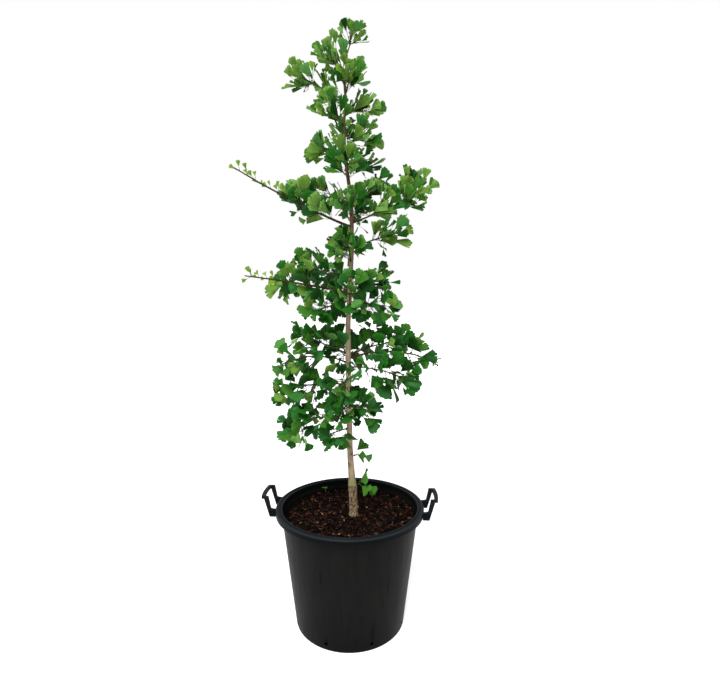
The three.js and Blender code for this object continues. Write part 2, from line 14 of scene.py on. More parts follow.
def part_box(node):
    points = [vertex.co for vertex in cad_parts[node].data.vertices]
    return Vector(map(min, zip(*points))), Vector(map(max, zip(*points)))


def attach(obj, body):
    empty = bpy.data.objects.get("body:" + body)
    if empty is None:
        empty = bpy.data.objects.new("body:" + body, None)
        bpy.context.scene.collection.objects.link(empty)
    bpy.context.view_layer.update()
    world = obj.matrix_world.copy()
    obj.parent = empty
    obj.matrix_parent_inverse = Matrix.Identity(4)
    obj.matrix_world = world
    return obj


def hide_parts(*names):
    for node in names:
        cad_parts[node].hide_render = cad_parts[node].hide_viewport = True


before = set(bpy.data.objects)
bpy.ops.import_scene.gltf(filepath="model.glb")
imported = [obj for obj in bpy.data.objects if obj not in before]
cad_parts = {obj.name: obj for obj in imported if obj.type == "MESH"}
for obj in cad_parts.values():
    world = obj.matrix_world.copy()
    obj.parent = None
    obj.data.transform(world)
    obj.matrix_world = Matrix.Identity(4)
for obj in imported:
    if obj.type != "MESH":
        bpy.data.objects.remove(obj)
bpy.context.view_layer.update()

# ---------------------------------------------------------------------------------------------------------
# Pot
# A 50-litre nursery container, injection moulded in one piece of black polypropylene: a thin tapered tub with
# a rolled rim and eight drain holes round its foot. It has a dull satin, upright flow marks and scuffs.
# ---------------------------------------------------------------------------------------------------------

MM = 0.001
TURN = 2 * math.pi

POT_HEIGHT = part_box("pot")[1].z / MM
POT_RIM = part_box("pot")[1].y / MM  # radii
POT_MOUTH = POT_RIM - 22
POT_BODY = POT_RIM - 19.5
POT_FOOT = 184
POT_WALL = 3
POT_FLOOR = 4
RIM_DEPTH = 18
GROOVE_EDGE = POT_RIM - 9  # of a shallow groove round the rim's top
GROOVE_FLAT = (POT_RIM - 11.5, POT_RIM - 14.5)
GROOVE_DEPTH = 3.5
LIP_WIDTH = 5
LIP_DROP = 0.8
POT_SIDES = 288
WALL_STEPS = 44
WALL_ENDS = (5, 6)  # the points of the rounded outline that the outer wall runs between
SHARP_EDGES = math.radians(40)

DRAIN_COUNT = 8
DRAIN_RADIUS = 6
DRAIN_HEIGHT = 24
DRAIN_SIDES = 24
DRAIN_REACH = 20  # of each cut, in and out from the foot's radius

# scuffs on the wall: degrees from +X, lower and upper ends, half width
SCUFFS = [
    (-112.5, 16, 62, 6.5),
    (-67.5, 20, 106, 5.0),
    (-113.5, 228, 290, 3.4),
    (-54.5, 190, 238, 3.0),
    (-59, 136, 192, 2.6),
    (35, 40, 130, 3.0),
    (110, 150, 210, 2.5),
    (160, 90, 140, 2.5),
]
SCUFF_FADES = (12, 30)  # over which they fade at their lower and upper ends
SCUFF_DEPTH = 1.5  # points further inside the wall than this aren't scuffed
CREST_HIGHLIGHT_LINE = (1.5, 2.2)  # how far in from the rim's edge a painted highlight line runs round the rim's top, and half its width
CREST_HIGHLIGHT_FADE = (4.5, 3)  # how far below the top that begins, and the height over which it does
FOOT_DARKENING = (160, 0, 0.8)  # heights from and to which the wall gets darker towards the foot, and how far it does
RIM_SIDE_SHADE = (374, 385, 1)  # painted shade: darker from just under the rim upwards, over the rim's side
RIM_TOP_PAINTED_LIGHT = (394, 397.5, 1)  # painted light: the rim's top paler


def linear(colour):
    """A colour such as "#2f6b33" as linear red, green, blue and alpha."""
    parts = [int(colour[i : i + 2], 16) / 255 for i in (1, 3, 5)]
    return [p / 12.92 if p <= 0.04045 else ((p + 0.055) / 1.055) ** 2.4 for p in parts] + [1.0]


def set_inputs(node, inputs):
    """Gives a node's inputs, by name or number, a socket, a hex colour or another value."""
    for name, value in inputs.items():
        if isinstance(name, str):
            socket = next(s for s in node.inputs if s.enabled and s.name == name)
        else:
            socket = node.inputs[name]
        if isinstance(value, bpy.types.NodeSocket):
            node.id_data.links.new(value, socket)
        else:
            socket.default_value = linear(value) if isinstance(value, str) else value


def add_node(material, kind, inputs=None, output=None, **settings):
    """Adds a shader node with its settings and gives back the named output, or the first one in use."""
    node = material.node_tree.nodes.new("ShaderNode" + kind)
    for name, value in settings.items():
        setattr(node, name, value)
    set_inputs(node, inputs or {})
    return next(s for s in node.outputs if s.enabled and output in (None, s.name))


def new_material(name, roughness, ior=1.5, specular=0.5):
    """A material, its Principled shader and its object coordinates."""
    material = bpy.data.materials.new(name)
    material.use_nodes = True
    shader = material.node_tree.nodes["Principled BSDF"]
    set_inputs(shader, {"Roughness": roughness, "IOR": ior, "Specular IOR Level": specular})
    return material, shader, add_node(material, "TexCoord", output="Object")


def per_metre(size):
    """The texture scale that gives features of a size in millimetres."""
    return 1 / (size * MM)


def new_piece(name, points, faces, materials, slot, face_materials=None):
    """A smooth mesh made from points in millimetres, which stands with the plant."""
    mesh = bpy.data.meshes.new(name)
    mesh.from_pydata((np.asarray(points, float) * MM).tolist(), [], faces)
    for material in materials:
        mesh.materials.append(material)
    mesh.polygons.foreach_set("use_smooth", [True] * len(mesh.polygons))
    if face_materials is not None:
        mesh.polygons.foreach_set("material_index", face_materials)
    piece = bpy.data.objects.new(name, mesh)
    bpy.context.scene.collection.objects.link(piece)
    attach(piece, "root")
    return piece


def mark(piece, name, values):
    """Gives each point of a piece a number that its material reads by name."""
    piece.data.attributes.new(name, "FLOAT", "POINT").data.foreach_set("value", values)


def apply_modifiers(piece):
    """Turns a piece's modifiers into its mesh."""
    depsgraph = bpy.context.evaluated_depsgraph_get()
    mesh = bpy.data.meshes.new_from_object(piece.evaluated_get(depsgraph))
    piece.modifiers.clear()
    piece.data = mesh


def combine(piece, others, operation):
    """Cuts other solids out of a piece, or joins them to it, and drops them."""
    for other in others:
        modifier = piece.modifiers.new(operation, "BOOLEAN")
        modifier.operation = operation
        modifier.object = other
        modifier.solver = "EXACT"
    apply_modifiers(piece)
    for other in others:
        bpy.data.objects.remove(other)


def rounded(corners, steps=5):
    """A line through (radius, height, rounding) corners, with an arc in place of each rounded corner."""
    line = []
    for i, (r, z, size) in enumerate(corners):
        here = np.array([r, z], float)
        if size == 0:
            line.append(here)
            continue
        before = np.array(corners[i - 1][:2]) - here
        after = np.array(corners[i + 1][:2]) - here
        start = here + before / np.linalg.norm(before) * size
        end = here + after / np.linalg.norm(after) * size
        for t in np.linspace(0, 1, steps):
            line.append((1 - t) ** 2 * start + 2 * t * (1 - t) * here + t**2 * end)
    return line


def subdivided(line, low, high, steps):
    """The line with even steps put in between two of its points, for relief to bend."""
    between = [line[low] + (line[high] - line[low]) * i / steps for i in range(1, steps)]
    return line[: low + 1] + between + line[high:]


def lathe(profile, sides):
    """A closed surface of (radius, height) points turned round Z. The first and last are on the axis."""
    angles = np.arange(sides) * TURN / sides
    points = [(0, 0, profile[0][1])]
    for r, z in profile[1:-1]:
        points += [(r * math.sin(a), -r * math.cos(a), z) for a in angles]
    points.append((0, 0, profile[-1][1]))
    top, rings = len(points) - 1, len(profile) - 2
    faces = []
    for k in range(sides):
        n = (k + 1) % sides
        faces.append((0, 1 + n, 1 + k))
        for ring in range(rings - 1):
            a, b = 1 + ring * sides, 1 + (ring + 1) * sides
            faces.append((a + k, a + n, b + n, b + k))
        last = 1 + (rings - 1) * sides
        faces.append((last + k, last + n, top))
    return points, faces


def prism(outline, place_point, near, far):
    """A closed prism: an outline of pairs set at a near and a far value by place_point."""
    n = len(outline)
    points = [place_point(u, v, w) for w in (near, far) for u, v in outline]
    faces = [tuple(reversed(range(n))), tuple(range(n, 2 * n))]
    faces += [(k, (k + 1) % n, n + (k + 1) % n, n + k) for k in range(n)]
    return points, faces


def turned(x, y, z, angle):
    """A point turned round Z by an angle."""
    return (x * math.cos(angle) - y * math.sin(angle), x * math.sin(angle) + y * math.cos(angle), z)


def off_from(angle, degrees):
    """How far an angle is from a direction in degrees, between half a turn back and half a turn on."""
    return (angle - math.radians(degrees) + math.pi) % TURN - math.pi


def inner_radius(height):
    """The inside of the pot's wall at a height."""
    return np.interp(height, [POT_FLOOR, POT_HEIGHT], [POT_FOOT - POT_WALL, POT_MOUTH])


rim_foot = POT_HEIGHT - RIM_DEPTH
pot_outline = rounded([
    (0, 0, 0),
    (POT_FOOT, 0, 5),
    (POT_BODY, rim_foot + POT_WALL, 2),
    (POT_RIM - POT_WALL, rim_foot + POT_WALL, 0.8),
    (POT_RIM - POT_WALL, rim_foot, 0.8),
    (POT_RIM, rim_foot, 1.2),
    (POT_RIM, POT_HEIGHT, 5),
    (GROOVE_EDGE, POT_HEIGHT, 2),
    (GROOVE_FLAT[0], POT_HEIGHT - GROOVE_DEPTH, 1.2),
    (GROOVE_FLAT[1], POT_HEIGHT - GROOVE_DEPTH, 1.2),
    (POT_MOUTH + LIP_WIDTH, POT_HEIGHT - LIP_DROP, 1.5),
    (POT_MOUTH, POT_HEIGHT - LIP_DROP, 2),
    (inner_radius(POT_FLOOR), POT_FLOOR, 4),
    (0, POT_FLOOR, 0),
])
pot_outline = subdivided(pot_outline, *WALL_ENDS, WALL_STEPS)

# black polypropylene: a dull satin from the mould's sparked surface, with painted shade down the rim's side,
# a paler painted-light top and a bluish painted highlight along the rim's crest
plastic, plastic_shader, place = new_material("black_polypropylene", 0.44, ior=1.49, specular=0.04)
height = add_node(plastic, "SeparateXYZ", {"Vector": place}, "Z")
upright = add_node(plastic, "Mapping", {"Vector": place, "Scale": (1, 1, 0.06)})
flow_marks = add_node(plastic, "TexNoise", {"Vector": upright, "Scale": per_metre(14), "Detail": 4})
grain = add_node(plastic, "TexNoise", {"Vector": place, "Scale": per_metre(1.6), "Detail": 2})
marks = add_node(plastic, "MapRange", {"Value": flow_marks, "From Min": 0.35, "From Max": 0.7})
foot_darkening, side, lit_rim_top = [
    add_node(
        plastic, "MapRange", {"Value": height, "From Min": low * MM, "From Max": high * MM, "To Max": most}
    )
    for low, high, most in (FOOT_DARKENING, RIM_SIDE_SHADE, RIM_TOP_PAINTED_LIGHT)
]
scuff, crest_highlight = [
    add_node(plastic, "Attribute", output="Fac", attribute_name=name) for name in ("scuff", "crest_highlight")
]
colour = "#0c0d0c"
for share, over in [
    (marks, "#111210"),
    (foot_darkening, "#040404"),
    (scuff, "#000000"),
    # painted shade on the rim's side and just under it
    (side, "#060708"),
    # painted light: the rim's top paler
    (lit_rim_top, "#101417"),
    # a bluish painted highlight along the rim's crest
    (crest_highlight, "#1f262a"),
]:
    colour = add_node(plastic, "Mix", {"Factor": share, "A": colour, "B": over}, data_type="RGBA")
wall_roughness = add_node(plastic, "MapRange", {"Value": marks, "To Min": 0.5, "To Max": 0.42})
roughness = add_node(plastic, "Mix", {"Factor": lit_rim_top, "A": wall_roughness, "B": 0.36})
relief = add_node(plastic, "Math", {0: grain, 1: flow_marks}, operation="ADD")
bump = add_node(plastic, "Bump", {"Height": relief, "Strength": 0.25, "Distance": 0.4 * MM})
set_inputs(plastic_shader, {"Base Color": colour, "Roughness": roughness, "Normal": bump})

pot = new_piece("pot_moulding", *lathe(pot_outline, POT_SIDES), [plastic], "pot")
circle = [
    (DRAIN_RADIUS * math.cos(a), DRAIN_HEIGHT + DRAIN_RADIUS * math.sin(a))
    for a in np.arange(DRAIN_SIDES) * TURN / DRAIN_SIDES
]
drills = []
for i in range(DRAIN_COUNT):
    angle = (i + 0.5) * TURN / DRAIN_COUNT
    drill = prism(
        circle, lambda u, v, w: turned(w, u, v, angle), POT_FOOT - DRAIN_REACH, POT_FOOT + DRAIN_REACH
    )
    drills.append(new_piece(f"drain_tool_{i}", *drill, [plastic], "pot"))
combine(pot, drills, "DIFFERENCE")
pot.data.set_sharp_from_angle(angle=SHARP_EDGES)

pot_at = np.empty(len(pot.data.vertices) * 3)
pot.data.vertices.foreach_get("co", pot_at)
x, y, z = pot_at.reshape(-1, 3).T / MM
r = np.hypot(x, y)
scuffed = np.zeros(len(x))
for degrees, low, high, half_width in SCUFFS:
    sideways = np.exp(-((off_from(np.arctan2(y, x), degrees) * r / half_width) ** 2))
    along = np.clip((z - low) / SCUFF_FADES[0], 0, 1) * np.clip((high - z) / SCUFF_FADES[1], 0, 1)
    scuffed = np.maximum(scuffed, sideways * along)
scuffed *= r > np.interp(z, [0, POT_HEIGHT], [POT_FOOT, POT_BODY]) - SCUFF_DEPTH
mark(pot, "scuff", scuffed)
# a painted highlight: a line round the rim's crest that fades in just below its top
crest_highlighted = np.exp(-(((r - POT_RIM + CREST_HIGHLIGHT_LINE[0]) / CREST_HIGHLIGHT_LINE[1]) ** 2))
crest_highlighted *= np.clip((z - POT_HEIGHT + CREST_HIGHLIGHT_FADE[0]) / CREST_HIGHLIGHT_FADE[1], 0, 1)
mark(pot, "crest_highlight", crest_highlighted)
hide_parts("pot")

# ---------------------------------------------------------------------------------------------------------
# Handles
# Two loops moulded with the rim: on each side two flat arms stand on the rim's side and lean out, and a grip
# bar, curved like the rim, joins their tops. The pot's own black polypropylene.
# ---------------------------------------------------------------------------------------------------------

HANDLE_AXIS = math.radians(-3.2)
HANDLE_WIDTH = 105  # across both arms
ARM_WIDTH = 9
ARM_FOOT = (POT_RIM - 6, 373)  # radius and height where an arm's side view starts, inside the rim
ARM_FOOT_OUTER = 265
ARM_FOOT_TOP = 398.5
ARM_KNEE_INNER = 253
ARM_KNEE = (261, 401)
ARM_TOP_RADIUS = 269.5
ARM_OUTER = 283  # under the grip
GRIP_BOTTOM = 434
GRIP_TOP = 442
GRIP_INNER = 283
GRIP_OUTER = 296
GRIP_END = 291  # where the grip's outer side meets the arms
GRIP_STEPS = 20
GRIP_INSET = 2  # of the grip's ends from the arms' outer sides
HANDLE_BEVEL = 1.5
BEVEL_EDGES = math.radians(30)

arm_side = [
    ARM_FOOT,
    (ARM_FOOT_OUTER, ARM_FOOT[1]),
    (ARM_OUTER, GRIP_BOTTOM),
    (GRIP_END, GRIP_BOTTOM),
    (GRIP_END, GRIP_TOP),
    (ARM_TOP_RADIUS, GRIP_TOP),
    ARM_KNEE,
    (ARM_KNEE_INNER, ARM_FOOT_TOP),
    (ARM_FOOT[0], ARM_FOOT_TOP),
]
half = math.asin((HANDLE_WIDTH / 2 - GRIP_INSET) / GRIP_OUTER)
sweep = np.linspace(-half, half, GRIP_STEPS)
grip_plan = [(GRIP_OUTER * math.cos(a), GRIP_OUTER * math.sin(a)) for a in sweep]
grip_plan += [(GRIP_INNER * math.cos(a), GRIP_INNER * math.sin(a)) for a in reversed(sweep)]
for name, angle in [("handle_right", HANDLE_AXIS), ("handle_left", HANDLE_AXIS + math.pi)]:
    grip = prism(grip_plan, lambda u, v, w: turned(u, v, w, angle), GRIP_BOTTOM, GRIP_TOP)
    loop = new_piece(name + "_moulding", *grip, [plastic], "pot")
    arms = []
    for side in (-1, 1):
        centre = side * (HANDLE_WIDTH - ARM_WIDTH) / 2
        near, far = centre + ARM_WIDTH / 2, centre - ARM_WIDTH / 2
        arm = prism(arm_side, lambda r, h, w: turned(r, w, h, angle), near, far)
        arms.append(new_piece(f"{name}_arm_{side}", *arm, [plastic], "pot"))
    combine(loop, arms, "UNION")
    bevel = loop.modifiers.new("bevel", "BEVEL")
    bevel.width = HANDLE_BEVEL * MM
    bevel.segments = 3
    bevel.angle_limit = BEVEL_EDGES
    apply_modifiers(loop)
    loop.data.polygons.foreach_set("use_smooth", [True] * len(loop.data.polygons))
    loop.data.set_sharp_from_angle(angle=SHARP_EDGES)
    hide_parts(name)

# ---------------------------------------------------------------------------------------------------------
# Soil
# Composted pine bark heaped gently towards the wall: a dark damp bed under a mulch of flakes and slivers,
# most of them dark brown, some rust red or tan, with a few grains of white perlite.
# ---------------------------------------------------------------------------------------------------------

SOIL_LEVEL = 361  # in the middle
SOIL_EDGE = 369
SOIL_FLAT = 34  # radius of the flat middle
SOIL_GAP = 1
SOIL_RINGS = 70
SOIL_SIDES = 220
SOIL_SUNK = 2  # below those levels, as the chips lie on it
SOIL_RELIEF = 4
SOIL_LUMPS = 34  # how far apart they are
SOIL_CRUMBS = 12
SOIL_CRUMB_SHARE = 0.6
CHIP_KINDS = [  # name, colour, number, least and greatest length
    ("bark_flakes_dark", "#070403", 3700, 4, 24),
    ("bark_flakes_brown", "#27150c", 1900, 4, 22),
    ("bark_flakes_rust", "#522b1a", 560, 4, 18),
    ("bark_flakes_tan", "#93704e", 120, 4, 15),
    ("perlite_grains", "#c9bfae", 30, 2, 5),
]
CHIP_LENGTHS = 2.2  # the power that makes short ones more common
CHIP_WIDTH = (0.16, 0.5)  # shares of the length
CHIP_BEND = 0.12
CHIP_THICKNESS = (0.25, 0.5)  # shares of the width
CHIP_JITTER = 0.12
CHIP_STATIONS = np.array([-0.5, -0.2, 0.2, 0.5])  # where its rings are, and how full each is
CHIP_FULLNESS = np.array([0.35, 1.0, 0.9, 0.3])
CHIP_FULLER = (0.75, 1.2)
CHIP_SIDES = 5
CHIP_TILT = 0.28
CHIP_LIFT = (0.2, 3.5)
CHIPS_FROM_TRUNK = 17
CHIPS_FROM_WALL = 2
TRUNK_SHIFT = 12  # how far right of the middle the trunk's foot is


def soil_height(x, y):
    """The height of the bed's surface: the heap, with its lumps and crumbs."""
    r = math.hypot(x, y)
    heap = np.interp(r, [SOIL_FLAT, inner_radius(SOIL_EDGE)], [SOIL_LEVEL, SOIL_EDGE])
    lumps = noise.noise(Vector((x, y, 0)) / SOIL_LUMPS)
    lumps += SOIL_CRUMB_SHARE * noise.noise(Vector((x, y, 40)) / SOIL_CRUMBS)
    return heap + SOIL_RELIEF * lumps - SOIL_SUNK


class Cluster:
    """Points and faces of many small closed shapes that become one piece."""

    def __init__(self):
        self.points, self.faces, self.kinds, self.count = [], [], [], 0

    def add(self, points, faces, kind=0):
        self.points.append(np.asarray(points))
        self.faces += [tuple(v + self.count for v in face) for face in faces]
        self.kinds += [kind] * len(faces) if isinstance(kind, int) else list(kind)
        self.count += len(points)

    def piece(self, name, materials, slot):
        return new_piece(name, np.concatenate(self.points), self.faces, materials, slot, self.kinds)


def ring_faces(rings, sides):
    """The faces of a tube of rings of points, closed at both ends."""
    faces = []
    for first in range(0, (rings - 1) * sides, sides):
        for k in range(sides):
            a, b = first + k, first + (k + 1) % sides
            faces.append((a, b, b + sides, a + sides))
    faces.append(tuple(reversed(range(sides))))
    faces.append(tuple(range((rings - 1) * sides, rings * sides)))
    return faces


def flake(rng, length):
    """One chip's points: a bent sliver of five-sided rings with ragged ends."""
    width = length * rng.uniform(*CHIP_WIDTH)
    thickness = max(1.0, width * rng.uniform(*CHIP_THICKNESS))
    bend = length * rng.uniform(-CHIP_BEND, CHIP_BEND)
    fullness = CHIP_FULLNESS * rng.uniform(*CHIP_FULLER, len(CHIP_FULLNESS))
    angles = np.arange(CHIP_SIDES) * TURN / CHIP_SIDES + rng.uniform(0, 1)
    ring = np.stack([np.zeros(CHIP_SIDES), np.cos(angles) * width / 2, np.sin(angles) * thickness / 2], 1)
    points = []
    for s, f in zip(CHIP_STATIONS, fullness):
        jitter = rng.uniform(-CHIP_JITTER, CHIP_JITTER, (CHIP_SIDES, 3)) * width
        points.append(ring * f + jitter + np.array([s * length, bend * 4 * s * s, 0]))
    return np.concatenate(points)


soil_outer = inner_radius(SOIL_EDGE) - SOIL_GAP
soil_floor = POT_FLOOR + SOIL_GAP
soil_rings = [(soil_outer * ring / SOIL_RINGS, False) for ring in range(1, SOIL_RINGS + 1)]
soil_rings.append((inner_radius(soil_floor) - SOIL_GAP, True))
soil_points = [(0, 0, soil_height(0, 0))]
for r, on_floor in soil_rings:
    for a in np.arange(SOIL_SIDES) * TURN / SOIL_SIDES:
        x, y = r * math.cos(a), r * math.sin(a)
        soil_points.append((x, y, soil_floor if on_floor else soil_height(x, y)))
soil_faces = [(0, 1 + k, 1 + (k + 1) % SOIL_SIDES) for k in range(SOIL_SIDES)]
for a in range(1, SOIL_RINGS * SOIL_SIDES, SOIL_SIDES):
    b = a + SOIL_SIDES
    for k in range(SOIL_SIDES):
        n = (k + 1) % SOIL_SIDES
        soil_faces.append((a + k, b + k, b + n, a + n))
soil_faces.append(tuple(b + k for k in reversed(range(SOIL_SIDES))))

# damp bark fines: rough and nearly black, paler where the crumbs have dried
fines, fines_shader, place = new_material("damp_bark_fines", 0.9, specular=0.03)
crumbs = add_node(fines, "TexNoise", {"Vector": place, "Scale": per_metre(5), "Detail": 6})
dry = add_node(fines, "MapRange", {"Value": crumbs, "From Min": 0.45, "From Max": 0.75})
colour = add_node(fines, "Mix", {"Factor": dry, "A": "#020101", "B": "#0b0503"}, data_type="RGBA")
bump = add_node(fines, "Bump", {"Height": crumbs, "Strength": 0.9, "Distance": 3 * MM})
set_inputs(fines_shader, {"Base Color": colour, "Normal": bump})

soil = new_piece("soil_bed", soil_points, soil_faces, [fines], "soil")
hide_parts("soil")

# pine bark and perlite: rough and dull, mottled along their fibres
flake_faces = ring_faces(len(CHIP_STATIONS), CHIP_SIDES)
rng = np.random.default_rng(7)
for kind, base, count, shortest, longest in CHIP_KINDS:
    material, shader, place = new_material(kind, 0.9 if kind == "perlite_grains" else 0.78, specular=0.05)
    fibres = add_node(material, "TexNoise", {"Vector": place, "Scale": per_metre(6), "Detail": 5})
    share = add_node(material, "MapRange", {"Value": fibres, "From Min": 0.3, "From Max": 0.7})
    dark, light = [[min(1, c * shade) for c in linear(base)[:3]] + [1.0] for shade in (0.45, 1.5)]
    colour = add_node(material, "Mix", {"Factor": share, "A": dark, "B": light}, data_type="RGBA")
    bump = add_node(material, "Bump", {"Height": fibres, "Strength": 0.6, "Distance": 1.5 * MM})
    set_inputs(shader, {"Base Color": colour, "Normal": bump})
    chips = Cluster()
    for _ in range(count):
        length = shortest + (longest - shortest) * rng.uniform() ** CHIP_LENGTHS
        points = flake(rng, length)
        reach = soil_outer - length * 0.5 - CHIPS_FROM_WALL
        r = math.sqrt(rng.uniform((CHIPS_FROM_TRUNK / soil_outer) ** 2, 1)) * reach
        r = max(r, CHIPS_FROM_TRUNK + length * 0.3)
        a, spin = rng.uniform(0, TURN, 2)
        pitch, roll = rng.normal(0, CHIP_TILT, 2)
        x, y = r * math.cos(a) + TRUNK_SHIFT, r * math.sin(a)
        if math.hypot(x, y) > reach:
            x -= TRUNK_SHIFT
        turn = np.array(Euler((roll, pitch, spin)).to_matrix())
        lift = rng.uniform(*CHIP_LIFT)
        chips.add(points @ turn.T + np.array([x, y, soil_height(x, y) + lift]), flake_faces)
    mulch = chips.piece(kind, [material], "soil")
    mulch.data.polygons.foreach_set("use_smooth", [False] * len(mulch.data.polygons))

# ---------------------------------------------------------------------------------------------------------
# Trunk
# The stem of a grafted young tree: a knobbly rootstock, the swollen graft and a slim scion with slow bends.
# The bark is thin, grey-tan and lightly fissured, with dark knots where shoots were rubbed off.
# ---------------------------------------------------------------------------------------------------------

UP = np.array([0.0, 0.0, 1.0])
BACK = np.array([0.0, 1.0, 0.0])

TRUNK_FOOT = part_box("trunk")[0].z / MM
TRUNK_STATIONS = np.array([  # height, x, y and diameter
    (TRUNK_FOOT, 13, 0, 34),
    (377, 12.5, 0, 28.5),
    (441, 10, 0, 28),
    (463, 8.5, 0.5, 29.5),
    (492, 6.5, 1, 23.5),
    (584, 0, 2, 20),
    (829, -4, 3, 18.5),
    (1011, -6, 4, 17),
    (1131, 1, 6, 15.5),
    (1281, 8, 8, 14),
    (1410, 6, 6, 12.5),
    (1549, -14, 2, 10.5),
    (1657, -18, 0, 9),
    (1721, -9, 3, 8),
    (1780, -18, 5, 7),
    (1830, -8, 2, 5.4),
    (1864, -5, 0, 4.2),
])
TRUNK_TOP = TRUNK_STATIONS[-1, 0]
TRUNK_STEP = 4
TRUNK_SIDES = 48
TRUNK_SOFTENING = 9  # steps over which its bends are rounded
GRAFT_TOP = 471
GRAFT_FADE = 20
KNOTS = [  # height, degrees from +X and size
    (578, -60, 5.5),
    (581, 20, 4),
    (465, -140, 6),
    (467, -95, 5.5),
    (464, -50, 6),
    (447, -120, 4),
    (440, -75, 3),
    (428, -105, 5),
    (421, -50, 4),
    (406, -120, 4.5),
    (398, -80, 3),
]
MORE_KNOTS_FROM = 500  # height from which more come, up to this far from the top
MORE_KNOTS_END = 60
KNOT_SPACING = 62
KNOT_SHIFT = 20
KNOT_SIZES = (2.5, 4)
STUB = (392, -12, 3.0, 6.5)  # a cut shoot's stub: height, degrees, size and how far it stands out
FISSURE_RELIEF = 0.03  # shares of the radius
LUMP_RELIEF = 0.025
ROOTSTOCK_LUMPS = 0.05
KNOT_RELIEF = 0.35  # share of a knot's size
PIT_LEVEL = 0.16  # of the noise above which the rootstock is pitted
PIT_DEPTH = 4
PIT_DARKNESS = 6
BROWN_AND_SHADED_BARK = (950, 1350, 1)  # heights from and to which the bark turns browner and darker, partly as painted shade inside the crown, and how far it does
ROOTSTOCK_BARK = (474, 462, 0.9)
ALGAE = (510, 480, 0.75)


def trunk_at(height):
    """The trunk's axis and radius at a height."""
    z, x, y, diameter = TRUNK_STATIONS.T
    axis = np.array([np.interp(height, z, x), np.interp(height, z, y), height])
    return axis, np.interp(height, z, diameter) / 2


def unit(vector):
    """The vector's direction, as a vector one long."""
    return vector / math.sqrt(vector @ vector)


def across(axis, reference=UP):
    """Two directions square to an axis, the first as near as it can be to the reference."""
    side = unit(np.cross(axis, reference))
    return np.cross(side, axis), side


def softened(values, steps):
    """The values, each averaged with those up to so many steps before and after it."""
    padded = np.concatenate([np.full(steps, values[0]), values, np.full(steps, values[-1])])
    return np.convolve(padded, np.ones(2 * steps + 1) / (2 * steps + 1), "valid")


trunk_heights = np.arange(TRUNK_FOOT, TRUNK_TOP, TRUNK_STEP)
z, x, y, diameter = TRUNK_STATIONS.T
axis_x = softened(np.interp(trunk_heights, z, x), TRUNK_SOFTENING)
axis_y = softened(np.interp(trunk_heights, z, y), TRUNK_SOFTENING)
trunk_radii = np.interp(trunk_heights, z, diameter) / 2

knots = list(KNOTS)
rng = np.random.default_rng(21)
for knot_height in np.arange(MORE_KNOTS_FROM, TRUNK_TOP - MORE_KNOTS_END, KNOT_SPACING):
    shift, degrees = rng.uniform(-KNOT_SHIFT, KNOT_SHIFT), rng.uniform(0, 360)
    knots.append((knot_height + shift, degrees, rng.uniform(*KNOT_SIZES)))

trunk_points, scars = [], []
for i, h in enumerate(trunk_heights):
    rootstock = np.clip((GRAFT_TOP - h) / GRAFT_FADE, 0, 1)
    for a in np.arange(TRUNK_SIDES) * TURN / TRUNK_SIDES:
        r = trunk_radii[i]
        spot = Vector((math.cos(a) * r, math.sin(a) * r, h))
        fissures = noise.noise(Vector((spot.x / 2.2, spot.y / 2.2, h / 16)))
        lumps = noise.noise(spot / 14) + 0.5 * noise.noise(spot / 6)
        r *= 1 + FISSURE_RELIEF * fissures + (LUMP_RELIEF + ROOTSTOCK_LUMPS * rootstock) * lumps
        scar = 0.0
        for knot_height, degrees, size in knots:
            if abs(knot_height - h) < 3 * size:
                sideways = off_from(a, degrees) * trunk_radii[i] / size
                near = math.exp(-(sideways**2) - ((h - knot_height) / (0.7 * size)) ** 2)
                r += KNOT_RELIEF * size * near
                scar = max(scar, near)
        sideways = off_from(a, STUB[1]) * trunk_radii[i] / STUB[2]
        r += STUB[3] * math.exp(-(sideways**2) - ((h - STUB[0]) / STUB[2]) ** 2)
        pits = noise.noise(spot / 5 + Vector((9, 0, 0))) - PIT_LEVEL
        if rootstock > 0 and pits > 0:
            r -= PIT_DEPTH * pits * rootstock
            scar = max(scar, min(1, PIT_DARKNESS * pits * rootstock))
        trunk_points.append((axis_x[i] + r * math.cos(a), axis_y[i] + r * math.sin(a), h))
        scars.append(scar)

# young bark: dull grey-tan low down, browner towards the leader and darker inside the crown as painted shade,
# tan and green with algae at the graft
bark, bark_shader, place = new_material("grey_tan_bark", 0.82)
height = add_node(bark, "SeparateXYZ", {"Vector": place}, "Z")
upright = add_node(bark, "Mapping", {"Vector": place, "Scale": (1, 1, 0.18)})
fissures = add_node(bark, "TexNoise", {"Vector": upright, "Scale": per_metre(5), "Detail": 6})
patches = add_node(bark, "TexNoise", {"Vector": place, "Scale": per_metre(26), "Detail": 3})
blotches = add_node(bark, "TexNoise", {"Vector": place, "Scale": per_metre(9), "Detail": 4})
upwards, below_graft, over_graft = [
    add_node(
        bark, "MapRange", {"Value": height, "From Min": low * MM, "From Max": high * MM, "To Max": most}
    )
    for low, high, most in (BROWN_AND_SHADED_BARK, ROOTSTOCK_BARK, ALGAE)
]
low_bark, high_bark, rootstock_bark = [
    add_node(bark, "Mix", {"Factor": pattern, "A": dark, "B": pale}, data_type="RGBA")
    for pattern, dark, pale in [
        (patches, "#7a6853", "#a9967a"),
        (patches, "#3a2216", "#6b472f"),
        (blotches, "#5c4933", "#957b5a"),
    ]
]
algae = add_node(bark, "Mix", {"Factor": below_graft, "A": over_graft, "B": 0})
cracks = add_node(bark, "MapRange", {"Value": fissures, "From Min": 0.56, "From Max": 0.7})
scar = add_node(bark, "Attribute", output="Fac", attribute_name="scar")
colour = low_bark
